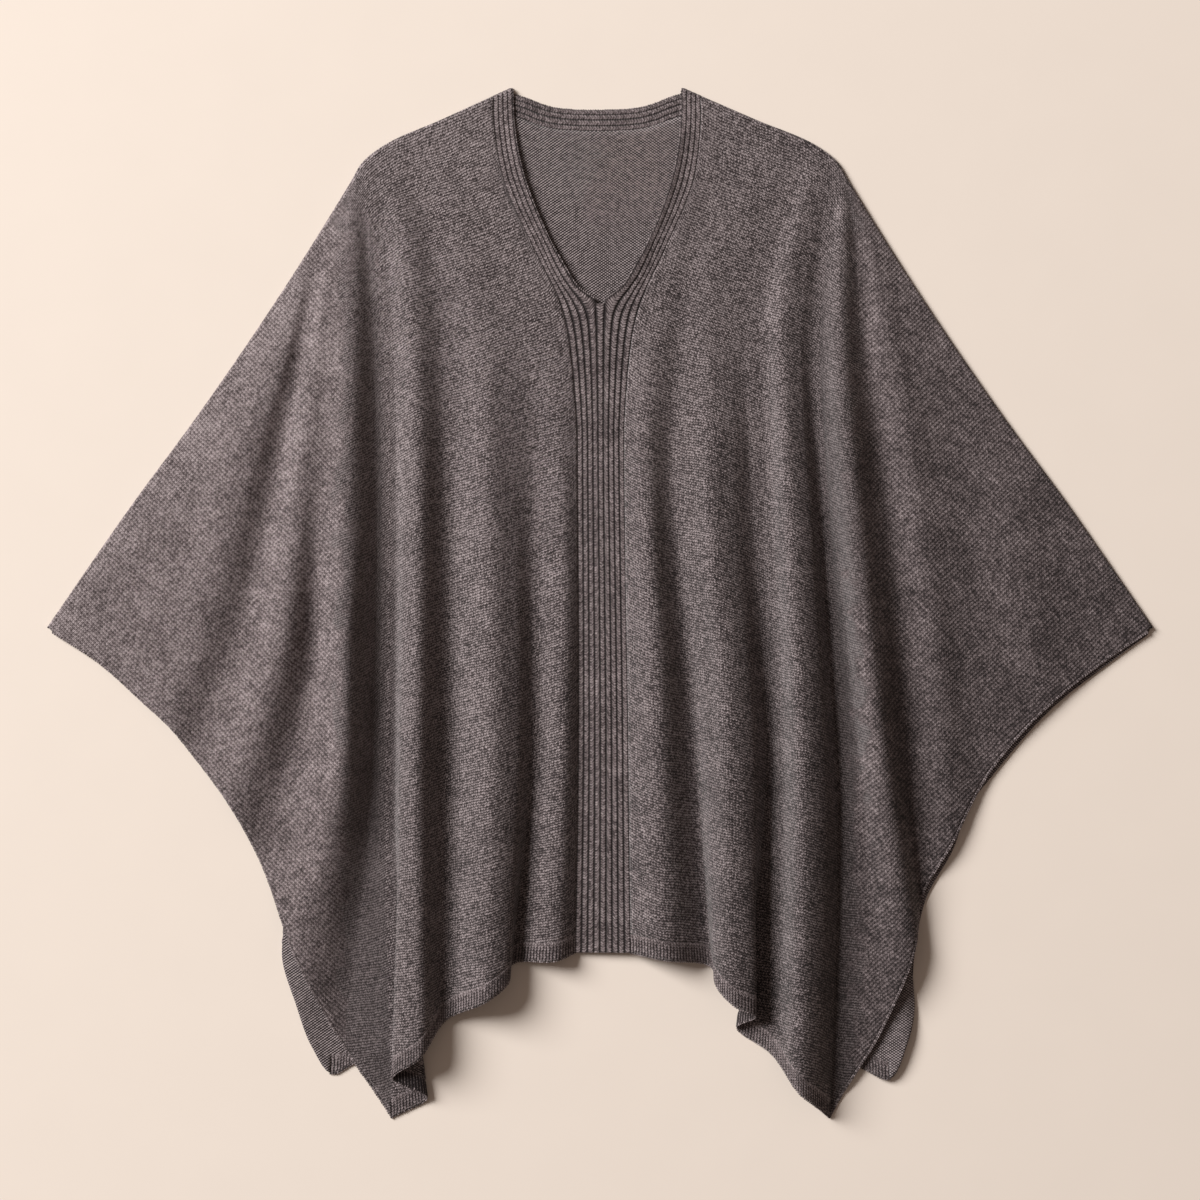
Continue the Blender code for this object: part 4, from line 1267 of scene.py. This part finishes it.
def makeFloor():
    mesh = bpy.data.meshes.new("floor")
    half = studio["floorHalf"]
    low = studio["floorHeight"]
    mesh.from_pydata(
        [(-half, -half, low), (half, -half, low), (half, half, low), (-half, half, low)], [], [(0, 1, 2, 3)])
    floor = addObject("floor", mesh)
    material, tree = startMaterial("floorPlaster")
    x, y, _ = objectPlace(tree)
    patches = patchesAt(tree, x, y, studio["floorPatch"], studio["floorPatch"], detail=4.0)
    ramp = addNode(tree, "ShaderNodeValToRGB", {"Fac": patches})
    for element, shade in zip(ramp.color_ramp.elements, studio["floorShades"]):
        element.color = (*[shade * part for part in studio["floorColour"]], 1.0)
    shader = tree.nodes["Principled BSDF"]
    tree.links.new(ramp.outputs["Color"], shader.inputs["Base Color"])
    shader.inputs["Roughness"].default_value = studio["floorRoughness"]
    shader.inputs["Specular IOR Level"].default_value = studio["floorSpecular"]
    mesh.materials.append(material)


def makeLight():
    # one soft lamp far off to the upper left, and a warm sky that fills the shadows
    away, angle = studio["keyAway"], math.radians(studio["keyAngle"])
    travel = Vector((*[part * math.cos(angle) for part in studio["keyTravel"]], -math.sin(angle)))
    light = bpy.data.lights.new("key", "AREA")
    light.shape = "DISK"
    light.size = 2.0 * away * math.tan(math.radians(studio["keySoftness"]) / 2.0)
    light.energy = studio["keyStrength"] * math.pi * away * away
    light.color = studio["keyColour"]
    lamp = addObject("key", light)
    lamp.rotation_euler = travel.to_track_quat("-Z", "Y").to_euler()
    lamp.location = travel * -away
    world = bpy.data.worlds.new("studio")
    world.use_nodes = True
    sky = world.node_tree.nodes["Background"]
    sky.inputs["Color"].default_value = (*studio["skyColour"], 1.0)
    sky.inputs["Strength"].default_value = studio["skyStrength"]
    bpy.context.scene.world = world


def makeCamera():
    # straight overhead, with a frame 1.14 m wide
    lens = bpy.data.cameras.new("camera")
    lens.sensor_width = studio["sensor"]
    lens.lens = studio["lens"]
    camera = addObject("camera", lens)
    camera.location = studio["cameraPlace"]
    bpy.context.scene.camera = camera


makeFloor()
makeLight()
makeCamera()
bpy.context.scene.view_settings.view_transform = "Standard"
print("studio made")
